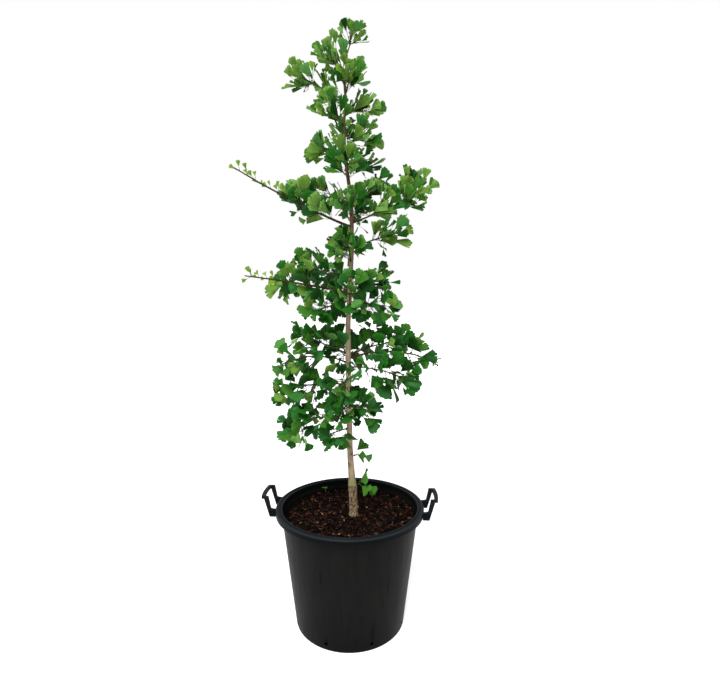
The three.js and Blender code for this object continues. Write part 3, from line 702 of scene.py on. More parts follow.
for share, over in [
    # browner up the trunk, and darker there as painted shade inside the crown
    (upwards, high_bark),
    (below_graft, rootstock_bark),
    (algae, "#5f6630"),
    (cracks, "#3b2c1e"),
    (scar, "#0d0906"),
]:
    colour = add_node(bark, "Mix", {"Factor": share, "A": colour, "B": over}, data_type="RGBA")
bump = add_node(bark, "Bump", {"Height": fissures, "Strength": 0.7, "Distance": 1.2 * MM})
set_inputs(bark_shader, {"Base Color": colour, "Normal": bump})

trunk = new_piece("trunk_bark", trunk_points, ring_faces(len(trunk_heights), TRUNK_SIDES), [bark], "bark")
mark(trunk, "scar", scars)
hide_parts("trunk")

# ---------------------------------------------------------------------------------------------------------
# Limbs: the plan
# Limbs leave the trunk in tiers, as a nursery tree makes one whorl a year. A long limb is a bare bough and
# then a leafy stem, and a short one is leafy from the trunk on. A spiral of short ones clothes the leader.
# ---------------------------------------------------------------------------------------------------------

# Of each: the height where it leaves the trunk (at), its angle (0 is right, 90 back, 180 left, 270 front),
# reach from the trunk's axis, rise to the tip, arch in the middle, length of its bare bough, length of its
# side shoots (spread), their number where it isn't worked out, the share of the stem from which it runs out
# thin, and its leaves' size where it isn't 1
TIERS = {
    "sprout": [
        dict(side="foot", at=462, angle=4, reach=34, rise=14, radius=1.8, leaf_size=0.75),
        dict(side="low", at=564, angle=352, reach=26, rise=12, radius=1.8, leaf_size=0.7),
    ],
    "low": [
        dict(side="left", at=684, angle=186, reach=194, rise=-14, arch=30, bare=40, spread=82),
        dict(side="left_front", at=666, angle=222, reach=86, rise=-6, spread=46),
        dict(side="right", at=704, angle=344, reach=58, rise=28, spread=40),
        dict(side="back", at=704, angle=94, reach=145, rise=24, arch=15, spread=70),
        dict(side="front", at=752, angle=255, reach=100, rise=-16, spread=58),
    ],
    "second": [
        dict(side="left", at=884, angle=184, reach=216, rise=0, arch=26, bare=60, spread=85),
        dict(side="left_low", at=812, angle=168, reach=232, rise=-30, arch=12, bare=50, spread=80),
        dict(side="left_high", at=915, angle=198, reach=162, rise=70, spread=75),
        dict(side="right", at=900, angle=357, reach=292, rise=-11, arch=30, bare=66, spread=62, thin=0.7),
        dict(side="right_high", at=912, angle=18, reach=188, rise=42, arch=8, spread=62),
        dict(side="right_low", at=870, angle=340, reach=200, rise=-30, arch=14, bare=55, spread=62),
        dict(side="back", at=880, angle=96, reach=200, rise=26, arch=8, bare=50, spread=66),
        dict(side="front", at=832, angle=262, reach=135, rise=-10, arch=6, spread=62),
    ],
    "third": [
        dict(side="left", at=1116, angle=186, reach=334, rise=54, arch=4, bare=55, spread=62, thin=0.5),
        dict(side="left_high", at=1152, angle=164, reach=170, rise=60, spread=75),
        dict(side="left_low", at=1092, angle=206, reach=132, rise=-36, spread=60),
        dict(side="right", at=1088, angle=348, reach=118, rise=-14, arch=8, spread=62),
        dict(side="right_high", at=1126, angle=20, reach=118, rise=26, spread=62),
        dict(side="front", at=1108, angle=275, reach=88, rise=4, spread=56),
        dict(side="back", at=1108, angle=98, reach=170, rise=42, arch=8, spread=75),
    ],
    "inner": [
        dict(side="front", at=1214, angle=262, reach=62, rise=58, spread=48, shoots=3),
        dict(side="back", at=1228, angle=105, reach=62, rise=50, spread=40, shoots=3),
    ],
    "fourth": [
        dict(side="left", at=1328, angle=187, reach=372, rise=178, arch=-10, bare=52, spread=42, thin=0.42),
        dict(side="right", at=1342, angle=4, reach=244, rise=112, arch=-6, bare=44, spread=74),
        dict(side="right_low", at=1258, angle=348, reach=152, rise=48, arch=6, bare=60, spread=42),
        dict(side="front", at=1362, angle=272, reach=85, rise=46, spread=50),
        dict(side="back", at=1326, angle=84, reach=160, rise=88, arch=4, bare=40, spread=75),
        dict(side="left_high", at=1396, angle=152, reach=110, rise=44, spread=55),
        dict(side="right_high", at=1416, angle=30, reach=115, rise=44, spread=55),
    ],
    "upper": [dict(side="left", at=1718, angle=181, reach=148, rise=78, spread=60)],
    "leader": [dict(side="tip", at=TRUNK_TOP, angle=20, reach=10, rise=34, radius=1.9, spread=30, shoots=4)],
}
GOLDEN = 137.5  # degrees, from each shoot or leaf to the next round its stem
COLUMN_COUNT = 11
COLUMN_FROM, COLUMN_TO = 1474, 1806
COLUMN_FIRST_ANGLE = 270
COLUMN_REACH = (76, 42)
COLUMN_RISE = (34, 40)
COLUMN_SPREAD = 50
COLUMN_SHOOTS = 4
FIRST_SEED, SEED_STEP = 101, 37

LIMB_GAP = 0.3  # between a bough's end and its leafy stem
BOUGH_PIECES = 2
BOUGH_LEAST_RADIUS = 2.6
BOUGH_RADIUS_PER_REACH = 0.0115
BOUGH_TAPER = 0.62
STEM_PIECE_LENGTH = 80
STEM_TIP_RADIUS = 1.9
STEM_FIRST_LEAF = 12
SHOOT_SPACING = 54
SHOOT_LAST_SHARE = 0.85
SHOOT_SHRINK = 0.45
SHOOT_FIRST_LEAF = 16
OFF_TRUNK = 5
OFF_BOUGH = 4
NEARER = 3  # by how much a leaf is nearer to its own limb than to any other
NEIGHBOURS = 420  # limbs whose starts are closer in height than this can meet
CROWN_TOP = 1972


def limb_point(limb, t):
    """The point at a share of a limb's reach."""
    angle = math.radians(limb["angle"])
    start, _ = trunk_at(limb["at"])
    return np.array([
        start[0] + math.cos(angle) * limb["reach"] * t,
        start[1] + math.sin(angle) * limb["reach"] * t,
        limb["at"] + limb["rise"] * t + limb["arch"] * 4 * t * (1 - t),
    ])


limbs = [dict(name=f"{tier}_{sizes['side']}", tier=tier, **sizes) for tier in TIERS for sizes in TIERS[tier]]
for i in range(COLUMN_COUNT):
    share = i / (COLUMN_COUNT - 1)
    limbs.append(dict(
        name=f"column_{i + 1}",
        tier="column",
        at=COLUMN_FROM + (COLUMN_TO - COLUMN_FROM) * share,
        angle=COLUMN_FIRST_ANGLE + i * GOLDEN,
        reach=COLUMN_REACH[0] + (COLUMN_REACH[1] - COLUMN_REACH[0]) * share,
        rise=COLUMN_RISE[0] + (COLUMN_RISE[1] - COLUMN_RISE[0]) * share,
        spread=COLUMN_SPREAD,
        shoots=COLUMN_SHOOTS,
    ))
for i, limb in enumerate(limbs):
    limb["seed"] = FIRST_SEED + SEED_STEP * i
    for name, value in dict(arch=0, bare=0, spread=0, thin=1, leaf_size=1).items():
        limb.setdefault(name, value)
    length = limb["reach"] - limb["bare"]
    leafy = limb["bare"] / limb["reach"]
    stem_start = (limb["bare"] + LIMB_GAP) / limb["reach"] if limb["bare"] else 0
    steps = max(1, math.floor(length / STEM_PIECE_LENGTH + 0.5))
    limb.setdefault("radius", max(BOUGH_LEAST_RADIUS, limb["reach"] * BOUGH_RADIUS_PER_REACH))
    limb["stem_radius"] = limb["radius"] * (1 - (1 - BOUGH_TAPER) * leafy)
    limb["bough"] = [limb_point(limb, leafy * k / BOUGH_PIECES) for k in range(BOUGH_PIECES + 1)]
    limb["bough"] = limb["bough"] if limb["bare"] else []
    limb["stem"] = [limb_point(limb, stem_start + (1 - stem_start) * k / steps) for k in range(steps + 1)]
    limb["path"] = limb["bough"] + limb["stem"]
    limb["stem_length"] = length
    first_leaf = STEM_FIRST_LEAF if limb["bare"] else trunk_at(limb["at"])[1] + OFF_TRUNK
    limb["leaf_from"] = first_leaf / length
    shoots = max(1, math.floor(limb["thin"] * length / SHOOT_SPACING + 0.5)) if limb["spread"] else 0
    limb.setdefault("shoots", shoots)

# ---------------------------------------------------------------------------------------------------------
# Limbs: the rule of growth
# Each limb draws from its own stream of random numbers, first for its shoots and then for their leaves. Side
# shoots turn round the stem by the golden angle and get shorter towards its tip. Every twig and leaf keeps to
# the space that is nearer to its own limb than to any other, clear of the trunk.
# ---------------------------------------------------------------------------------------------------------


def random_stream(seed):
    """A function that draws numbers between a low and a high value, the same each time for a seed."""
    modulus = 2147483647
    state = seed

    def draw(low, high):
        nonlocal state
        state = state * 48271 % modulus
        return low + (high - low) * (state / modulus)

    for _ in range(5):
        draw(0, 1)
    return draw


def lean(axis, forward, roll, lift):
    """A direction by its shares along an axis, round it at a roll in degrees, and upwards."""
    upright, side = across(axis)
    angle = math.radians(roll)
    return unit(axis * forward + upright * math.sin(angle) + side * math.cos(angle) + UP * lift)


def on_chain(chain, share):
    """The point and the direction at a share of a chain's steps."""
    last = len(chain) - 2
    step = min(last, math.floor(share * (last + 1)))
    start, end = chain[step], chain[step + 1]
    return start + (end - start) * (share * (last + 1) - step), unit(end - start)


def distances(points, chains):
    """From each point to the nearest of the chains of points."""
    starts = np.array([p for chain in chains for p in chain[:-1]])
    ways = np.array([p for chain in chains for p in chain[1:]]) - starts
    offsets = points[:, None] - starts
    shares = np.clip((offsets * ways).sum(2) / (ways * ways).sum(1), 0, 1)
    return np.linalg.norm(offsets - shares[..., None] * ways, axis=2).min(1)


def in_own_space(limb, probes, nearer=NEARER):
    """Whether all the probes are nearer to the limb than to its neighbours, and clear of the wood."""
    probes = np.array(probes)
    heights = probes[:, 2]
    if heights.max() > CROWN_TOP:
        return False
    z, x, y, diameter = TRUNK_STATIONS.T
    off_axis = np.hypot(probes[:, 0] - np.interp(heights, z, x), probes[:, 1] - np.interp(heights, z, y))
    if ((heights < TRUNK_TOP) & (off_axis < np.interp(heights, z, diameter) / 2 + OFF_TRUNK)).any():
        return False
    if limb["bare"] and distances(probes, [limb["bough"]]).min() < limb["radius"] + OFF_BOUGH:
        return False
    if "near" not in limb:
        limb["near"] = [o["path"] for o in limbs if o is not limb and abs(o["at"] - limb["at"]) < NEIGHBOURS]
    own = distances(probes, [limb["path"]])
    return bool((own + nearer < distances(probes, limb["near"])).all())


LEAF_LENGTH = 62  # of the place that a leaf may fill
LEAF_WIDTH = 72
LEAF_SHOULDER = 0.66
LEAF_MIDDLE = 0.55
LEAF_CUP = 0.08
LEAF_STALK = 27
LEAF_SIZES = (0.82, 1.14)
LEAF_WIDTHS = (0.85, 1.1)
LEAF_SPACING = 26
LEAF_LAST_SHARE = 0.94
LEAF_TURN = 30
LEAF_REACH = 2.2 * LEAF_LENGTH  # leaves further apart than this can't meet
STALK_LENGTHS = (0.75, 1.25)
STALK_FORWARD = (0.3, 0.8)
STALK_LIFT = 0.3
BLADE_LIFT = (-0.45, 0.15)
BLADE_TURN = (0.6, 0.6, 0.4)  # how far its face may turn sideways, forwards or back, and upwards
OUTWARD = 0.25  # how much blades keep away from the trunk
YOUNG = dict(start=0.65, over=0.35, size=0.7)  # towards a shoot's tip leaves get smaller
YOUNG_ON_THIN = dict(over=0.12, size=0.42)  # and more so where a long limb runs out thin
PAIRED_UP_TO = 0.7
PAIR_GAP = 3.5
NEAREST = 26
TRIES = 5
SHOOT_TURN = 20
SHOOT_FORWARD = (0.45, 0.75)
SHOOT_LIFT = 0.15
SHOOT_LENGTHS = (0.8, 1.1)
SHOOT_RADII = (1.6, 1.1)
RISING, RISING_FROM, RISING_TO = 0.6, 1000, 1450  # leaves turn up more, the higher they stand
LIGHT = np.array([0, -0.5, 0.3])  # where blades turn to


def rising_at(height):
    """How much the leaves at a height turn up."""
    return RISING * min(1, max(0, (height - RISING_FROM) / (RISING_TO - RISING_FROM)))


def shoots_of(limb, random):
    """A limb's leafy stem and its side shoots."""
    shoots = [dict(
        chain=limb["stem"],
        length=limb["stem_length"],
        radii=(limb["stem_radius"], STEM_TIP_RADIUS),
        leaf_from=limb["leaf_from"],
        leaf_size=limb["leaf_size"],
        young=dict(YOUNG_ON_THIN, start=limb["thin"]) if limb["thin"] < 1 else YOUNG,
    )]
    last = min(limb["thin"], SHOOT_LAST_SHARE)
    for i in range(limb["shoots"]):
        share = limb["leaf_from"] + (last - limb["leaf_from"]) * (i + 0.4) / limb["shoots"]
        point, axis = on_chain(limb["stem"], share)
        roll = i * GOLDEN + random(-SHOOT_TURN, SHOOT_TURN)
        direction = lean(axis, random(*SHOOT_FORWARD), roll, SHOOT_LIFT + rising_at(point[2]) / 2)
        length = limb["spread"] * (1 - SHOOT_SHRINK * share) * random(*SHOOT_LENGTHS)
        tip = point + direction * length
        if in_own_space(limb, [point + (tip - point) * part for part in (0.3, 0.65, 1)]):
            shoots.append(dict(
                chain=[point, tip],
                length=length,
                radii=SHOOT_RADII,
                leaf_from=min(0.5, SHOOT_FIRST_LEAF / length),
                leaf_size=limb["leaf_size"],
                young=YOUNG,
            ))
    return shoots


def grow_leaf(shoot, share, roll, random, scale=1.0, light=LIGHT):
    """A leaf's place at a share of a shoot: its stalk, its blade's axes and size, and the blade's corners."""
    root, axis = on_chain(shoot["chain"], share)
    young = shoot["young"]
    age = min(1, max(0, (share - young["start"]) / young["over"]))
    size = random(*LEAF_SIZES) * (1 + (young["size"] - 1) * age) * shoot["leaf_size"] * scale
    rising = rising_at(root[2])
    stalk_way = lean(axis, random(*STALK_FORWARD), roll, STALK_LIFT + rising)
    base = root + stalk_way * (LEAF_STALK * size * random(*STALK_LENGTHS))
    outward = base - trunk_at(base[2])[0]
    outward[2] = 0
    outward = unit(outward)
    along = unit(stalk_way + outward * OUTWARD + UP * (random(*BLADE_LIFT) + rising))
    face = np.array([random(-most, most) for most in BLADE_TURN]) + light
    side = unit(np.cross(along, unit(face + outward * OUTWARD)))
    normal = np.cross(side, along)
    width = LEAF_WIDTH * size * random(*LEAF_WIDTHS)
    length = LEAF_LENGTH * size
    shoulder = along * LEAF_SHOULDER * length + normal * LEAF_CUP * width
    return dict(
        root=root,
        stalk_way=stalk_way,
        base=base,
        along=along,
        side=side,
        normal=normal,
        length=length,
        width=width,
        age=age,
        left=base + shoulder - side * width / 2,
        right=base + shoulder + side * width / 2,
        top=base + along * length,
        middle=base + along * LEAF_MIDDLE * length,
    )


def leaf_probes(leaf):
    """Points on the stalk and all over the blade."""
    probes = [(leaf["root"] + leaf["base"]) / 2, leaf["base"], leaf["top"], leaf["middle"]]
    for corner in (leaf["left"], leaf["right"]):
        for share in (0.35, 0.7, 1):
            probes.append(leaf["base"] + (corner - leaf["base"]) * share)
            probes.append(leaf["middle"] + (corner - leaf["middle"]) * share)
        probes.append((corner + leaf["top"]) / 2)
    return probes


def pierces(leaf, other):
    """Whether an edge or the stalk of one leaf goes through the other's blade."""
    outline = np.array([leaf[key] for key in ("root", "base", "left", "top", "right", "base")])
    starts, ways = outline[:-1], outline[1:] - outline[:-1]
    for corner in (other["left"], other["right"]):
        edge_1, edge_2 = corner - other["base"], other["top"] - other["base"]
        square = np.cross(ways, edge_2)
        level = square @ edge_1
        level = np.where(abs(level) < 1e-12, 1e-12, level)
        offset = starts - other["base"]
        u = (offset * square).sum(1) / level
        turn = np.cross(offset, edge_1)
        v = (ways * turn).sum(1) / level
        t = turn @ edge_2 / level
        if ((u >= 0) & (v >= 0) & (u + v <= 1) & (t >= 0) & (t < 1)).any():
            return True
    return False


def has_room(limb, leaf, leaves, nearest=NEAREST, nearer=NEARER):
    """Whether a leaf keeps to its limb's space and clear of the limb's other leaves."""
    close = []
    for other in leaves:
        apart = math.dist(other["middle"], leaf["middle"])
        if apart < nearest:
            return False
        if apart < LEAF_REACH:
            close.append(other)
    if not in_own_space(limb, leaf_probes(leaf), nearer):
        return False
    return not any(pierces(leaf, other) or pierces(other, leaf) for other in close)


def leaves_of(limb, shoots, random):
    """The leaves along a limb's shoots, in pairs low down and singly towards the tips."""
    leaves = []
    for spray, shoot in enumerate(shoots):
        nodes = math.floor(shoot["length"] * (1 - shoot["leaf_from"]) / LEAF_SPACING + 0.5) + 1
        nodes = max(2, nodes)
        for i in range(nodes):
            share = shoot["leaf_from"] + (LEAF_LAST_SHARE - shoot["leaf_from"]) * i / (nodes - 1)
            paired = share < min(shoot["young"]["start"], PAIRED_UP_TO) or i == nodes - 1
            for k in range(2 if paired else 1):
                root_share = share - k * PAIR_GAP / shoot["length"]
                for attempt in range(TRIES):
                    roll = (2 * i + k + attempt) * GOLDEN + random(-LEAF_TURN, LEAF_TURN)
                    leaf = grow_leaf(shoot, root_share, roll, random)
                    if has_room(limb, leaf, leaves):
                        leaf.update(spray=spray, share=root_share)
                        leaves.append(leaf)
                        break
    return leaves


# ---------------------------------------------------------------------------------------------------------
# Boughs
# The long limbs' bare wood, grown out of the trunk with a collar round its foot: brown, tough, straight and a
# little knotty, up to where the leafy stem starts.
# ---------------------------------------------------------------------------------------------------------

BOUGH_STEP = 3.5
BOUGH_SIDES = 12
BOUGH_RELIEF = 0.06
COLLAR = 0.5  # how much thicker a limb is at the trunk
COLLAR_LENGTH = 9


def tube(centres, radii, sides):
    """Rings round a chain of points, carried along it without a twist and closed at both ends."""
    centres = np.asarray(centres, float)
    ways = np.gradient(centres, axis=0)
    upright, _ = across(unit(ways[0]), UP if abs(unit(ways[0])[2]) < 0.95 else BACK)
    angles = np.arange(sides) * TURN / sides
    points = []
    for centre, way, radius in zip(centres, ways, radii):
        axis = unit(way)
        upright = unit(upright - axis * (upright @ axis))
        side = np.cross(upright, axis)
        points.append(centre + radius * (np.outer(np.cos(angles), upright) + np.outer(np.sin(angles), side)))
    return np.concatenate(points), ring_faces(len(centres), sides)


def walk(chain, step):
    """Even steps along a chain of points, and how far along each one is."""
    chain = np.array(chain)
    lengths = np.concatenate([[0], np.cumsum(np.linalg.norm(np.diff(chain, axis=0), axis=1))])
    along = np.linspace(0, lengths[-1], max(3, round(lengths[-1] / step) + 1))
    return np.stack([np.interp(along, lengths, chain[:, i]) for i in range(3)], 1), along


# brown twig bark: thin, slightly glossy and streaked
brown_bark, brown_shader, place = new_material("brown_twig_bark", 0.75, specular=0.2)
streaks = add_node(brown_bark, "TexNoise", {"Vector": place, "Scale": per_metre(9), "Detail": 5})
streaky = add_node(brown_bark, "MapRange", {"Value": streaks, "From Min": 0.35, "From Max": 0.65})
colour = add_node(brown_bark, "Mix", {"Factor": streaky, "A": "#1c120c", "B": "#402b1d"}, data_type="RGBA")
bump = add_node(brown_bark, "Bump", {"Height": streaks, "Strength": 0.5, "Distance": 0.8 * MM})
set_inputs(brown_shader, {"Base Color": colour, "Normal": bump})

boughs = Cluster()
for limb in limbs:
    if limb["bare"]:
        centres, along = walk(limb["bough"], BOUGH_STEP)
        radii = np.interp(along, [0, along[-1]], [limb["radius"], limb["stem_radius"]])
        out_of_trunk = along - trunk_at(limb["at"])[1]
        radii *= 1 + COLLAR * np.exp(-np.maximum(out_of_trunk, 0) / COLLAR_LENGTH)
        radii *= [1 + BOUGH_RELIEF * noise.noise(Vector(c) / 8) for c in centres]
        boughs.add(*tube(centres, radii, BOUGH_SIDES))
bough_wood = boughs.piece("boughs_bark", [brown_bark], "bark")
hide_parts(*[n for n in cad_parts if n.startswith("bough_")])

# ---------------------------------------------------------------------------------------------------------
# Twigs and leaves
# Leafy stems and side shoots of the boughs' wood, with a spur under every leaf and a bud at every tip. The
# leaves are fans of two thin skins on long stalks, wavy and often cleft, deep green above and paler below.
# They are yellow-green up the leader and where the long limbs run out thin.
# ---------------------------------------------------------------------------------------------------------

TWIG_STEP = 7
STEM_SIDES, SHOOT_SIDES = 8, 6
SPUR_LENGTH = 5
SPUR_RADIUS = 1.7
SPUR_SHRINK = 0.4  # how much thinner the youngest are
SPUR_SHAPE = [(0, 1.0), (0.5, 0.85), (0.8, 1.05), (1.0, 0.7)]  # how far along, and how thick there
BUD_LENGTH = 5
BUD_RADIUS = 1.9
BUD_SHAPE = [(0, 0.75), (0.3, 1), (0.7, 0.7), (1, 0.15)]
REAL_SIZE = 0.93  # a real leaf against the place that it fills
YOUNG_SHRINK = 0.16  # and how much less the youngest fill
LOW_LENGTH, HIGH_LENGTH = 0.95, 1.0  # shares of it: the leaves are wider low down
LOW_WIDTH, HIGH_WIDTH = 0.9, 0.7
TIER_LEAF = dict(sprout=1.3, leader=0.8)  # how much larger or smaller these tiers bear them
MADE_WITH = dict(inner="fourth", upper="column", leader="column")  # tiers that share another's pieces
EXTRA_SEED = 5  # from a limb's seed to that of the numbers for all that its solid hasn't
SIBLINGS = dict(low=2, second=1, third=3, inner=5, fourth=9, column=15, upper=15, leader=1)  # more at a spur
THIN_SIBLINGS = 1  # and where a stem runs out thin
SIBLING_SCALE = (0.7, 1.04)
SIBLING_NEAREST = 11
SIBLING_MINGLE = -14  # how far they may lean into the next limb's space
SIBLING_LIGHTS = [  # where their blades turn to, one after the other
    np.array((0, -0.85, 0.4)),
    np.array((0, -0.85, 0.4)),
    np.array((0.8, 0.2, 0.4)),
    np.array((-0.8, 0.3, 0.4)),
]
TWIGLET_SPACING = 34
TWIGLETS_UP_TO = 0.96
TWIGLET_FORWARD = (0.3, 0.8)
TWIGLET_LIFT = 0.2
TWIGLET_LENGTH = (16, 38)
TWIGLET_SHRINK = 0.4
TWIGLET_RADII = (1.2, 0.9)
TWIGLET_LEAVES = (0.5, 0.93, 0.95)  # how far along each one is
YOUNG_ON_TWIGLET = dict(YOUNG, start=0.6, over=0.4)
COLUMN_TWIGLETS = 1.5  # how many times as many the column's shoots bear

BLADE_THICKNESS = 0.5
LOBES = 5
RIBS = 4 * LOBES + 1
ROWS = (0.36, 0.7, 1.0)
BLADE_WIDTHS = (0.86, 1.1)
LOBE_SIZES = (0.6, 1.4)
CLEFT_CHANCE = 0.45
CLEFT = (0.14, 0.42)  # depths, as shares of the blade's length
NO_CLEFT = 0.08
NOTCH = (0.03, 0.13)
LOBE_CROWN = (0, 0.06)
LOBE_SLANT = (-0.035, 0.035)
LOBE_SHOULDER = 0.02
CORNERS = (0.82, 0.97)  # how long the blade's sides are against its middle
WAVE = (0.8, 4.5)
CUP = (-0.02, 0.2)
DROOP = (-0.16, 0.2)
STALK_STEPS = 6
STALK_SIDES = 4
STALK_RADII = ((0, 0.2, 1), (1.0, 0.6, 0.75))  # how far along, and what it is there

VEIN_COUNT = 64
LEAF_GLOSS = dict(ior=1.45, specular=0.06)
LEAF_ROUGHNESS = dict(upper=0.5, under=0.64)
BLOOM = 0.07  # how much rougher or smoother their waxy bloom makes them
UNDER_SHARE = 0.25  # of the leaves that show their under side
LEAF_TINTS = {  # upper and under side
    "deep": ("#10350b", "#204c1e"),
    "mid": ("#1d5314", "#2b6229"),
    "fresh": ("#36661f", "#447535"),
    "light": ("#567a2e", "#628b40"),
    "young": ("#648826", "#739439"),
}
TINTS = list(LEAF_TINTS)
TINTS_UP_TO_LOW = (0.3, 0.8, 1.01, 1.3)  # the shares of the leaves that are no lighter than each tint
TINTS_UP_TO_HIGH = (0.0, 0.05, 0.3, 0.96)
TINTS_FROM, TINTS_TO = 1000, 1900  # heights between which they turn lighter, as younger leaves and as painted light from above
TIP_LIGHTER = 0.12
PAINTED_INNER_SHADE, OUTER_FROM_TRUNK = 0.15, 160  # painted shade inside the crown: how much lighter they get, from the trunk to so far from it
LONG_THIN = 0.6  # limbs that run out thin from below this share end in young leaves


def leafy_surface(material, shader, place, relief, rough):
    """A leaf's or stalk's waxy bloom, which makes the roughness uneven, and its fine relief."""
    bloom = add_node(material, "TexNoise", {"Vector": place, "Scale": per_metre(11), "Detail": 3})
    between = {"From Min": 0.3, "From Max": 0.7, "To Min": rough - BLOOM, "To Max": rough + BLOOM}
    uneven = add_node(material, "MapRange", {"Value": bloom, **between})
    bump = add_node(material, "Bump", {"Height": relief or bloom, "Strength": 0.35, "Distance": 0.3 * MM})
    set_inputs(shader, {"Roughness": uneven, "Normal": bump})


# soft green leaf: low satin above, duller below, with fine veins that fan out from the stalk
leaf_materials = []
for tint, sides in LEAF_TINTS.items():
    for side, colour in zip(LEAF_ROUGHNESS, sides):
        rough = LEAF_ROUGHNESS[side]
        material, shader, place = new_material(f"leaf_{tint}_{side}", rough, **LEAF_GLOSS)
        set_inputs(shader, {"Base Color": colour})
        rib = add_node(material, "Attribute", output="Fac", attribute_name="rib")
        turns = add_node(material, "Math", {0: rib, 1: VEIN_COUNT * math.pi}, operation="MULTIPLY")
        veins = add_node(material, "Math", {0: turns}, operation="SINE")
        leafy_surface(material, shader, place, veins, rough)
        leaf_materials.append(material)

# leaf stalk: the same skin, round and plain
stalk_green, stalk_shader, place = new_material("leaf_stalk", LEAF_ROUGHNESS["upper"], **LEAF_GLOSS)
set_inputs(stalk_shader, {"Base Color": "#4a6a26"})
leafy_surface(stalk_green, stalk_shader, place, None, LEAF_ROUGHNESS["upper"])

blade_faces, blade_sides = [], []
sheet_size = 1 + RIBS * len(ROWS)
for under in (False, True):
    first = sheet_size * under
    sheet = [(first, first + 1 + k, first + 2 + k) for k in range(RIBS - 1)]
    for row in range(len(ROWS) - 1):
        a = first + 1 + row * RIBS
        sheet += [(a + k, a + RIBS + k, a + RIBS + k + 1, a + k + 1) for k in range(RIBS - 1)]
    blade_faces += [tuple(reversed(face)) for face in sheet] if not under else sheet
    blade_sides += [int(under)] * len(sheet)
blade_ribs = np.tile(np.concatenate([[0], np.tile(np.linspace(-1, 1, RIBS), len(ROWS))]), 2)
left_edge = [0] + [1 + row * RIBS for row in range(len(ROWS))]
right_edge = [0] + [RIBS + row * RIBS for row in range(len(ROWS))]
top_edge = list(range(left_edge[-1], right_edge[-1] + 1))
edge = left_edge + top_edge[1:] + right_edge[-2:0:-1]
for k, v in enumerate(edge):
    n = edge[(k + 1) % len(edge)]
    blade_faces.append((v, n, n + sheet_size, v + sheet_size))
    blade_sides.append(0)


def blade(leaf, random):
    """A fan's points, upper skin and then under skin: ribs from the stalk to a top edge of uneven lobes."""
    lively = rising_at(leaf["base"][2]) / RISING
    size = REAL_SIZE * (1 - YOUNG_SHRINK * leaf["age"])
    length = leaf["length"] * size * (LOW_LENGTH + (HIGH_LENGTH - LOW_LENGTH) * lively)
    width = leaf["width"] * size * (LOW_WIDTH + (HIGH_WIDTH - LOW_WIDTH) * lively) * random(*BLADE_WIDTHS)
    shares = np.cumsum([0] + [random(*LOBE_SIZES) for _ in range(LOBES)])
    shares = 2 * shares / shares[-1] - 1
    spread, dents = [], []
    deepest = 2 if random(0, 1) < 0.5 else 3
    cleft = random(*CLEFT) if random(0, 1) < CLEFT_CHANCE else NO_CLEFT
    for k in range(LOBES):
        notch = 0.0 if k == 0 else cleft if k == deepest else random(*NOTCH)
        crown, slant = random(*LOBE_CROWN), random(*LOBE_SLANT)
        dents += [notch, crown + LOBE_SHOULDER + slant, crown, crown + LOBE_SHOULDER - slant]
        spread += [shares[k] + (shares[k + 1] - shares[k]) * part for part in (0, 0.15, 0.5, 0.85)]
    spread = np.array(spread + [1.0])
    corner = random(*CORNERS)
    arc = 1 - (1 - corner) * abs(spread) ** 4
    reach = arc * (1 - np.array(dents + [0.0]))
    opening = math.asin(min(0.9, width / (2 * length * corner)))
    wave, phase, cup, droop = random(*WAVE), random(0, TURN), random(*CUP), random(*DROOP)
    points = [np.zeros(3)]
    for r in ROWS:
        along = length * (reach if r == 1.0 else np.minimum(arc * r, reach * (0.5 + 0.42 * r)))
        x = along * np.sin(spread * opening)
        y = along * np.cos(spread * opening)
        z = cup * abs(x) ** 1.5 / math.sqrt(width) - droop * y * y / length
        z += wave * r * r * np.sin(spread * 5 + phase)
        points += list(np.stack([x, y, z], 1))
    frame_axes = np.array([leaf["side"], leaf["along"], leaf["normal"]])
    base = leaf["base"] + leaf["along"] * (leaf["length"] - length) * 0.8
    upper = np.array(points) @ frame_axes + base
    return np.concatenate([upper, upper - leaf["normal"] * BLADE_THICKNESS]), base


def stalk(leaf, base):
    """A thin stalk that leaves the spur in its own way and bends into the blade's."""
    root = leaf["root"]
    reach = math.dist(root, base)
    turn_1 = root + leaf["stalk_way"] * reach * 0.4
    turn_2 = base - leaf["along"] * reach * 0.35
    t = np.linspace(0, 1, STALK_STEPS)[:, None]
    line = (1 - t) ** 3 * root + 3 * t * (1 - t) ** 2 * turn_1 + 3 * t * t * (1 - t) * turn_2 + t**3 * base
    return tube(line, np.interp(t[:, 0], *STALK_RADII), STALK_SIDES)


def shaped(start, way, shape, radius):
    """A small tube along a way. Its shape gives how far along each ring is, and its share of the radius."""
    along, thickness = np.array(shape, float).T
    return tube(start + way * along[:, None], thickness * radius, SHOOT_SIDES)


def add_leaf(limb, shoot, spray, share, light, leaves, random):
    """Grows one more leaf on a shoot, if one of a few tries finds room for it."""
    for _ in range(TRIES):
        roll, scale = random(0, 360), random(*SIBLING_SCALE)
        leaf = grow_leaf(shoot, share, roll, random, scale, light)
        if has_room(limb, leaf, leaves, SIBLING_NEAREST, SIBLING_MINGLE):
            leaf.update(spray=spray, share=share)
            leaves.append(leaf)
            return True
    return False


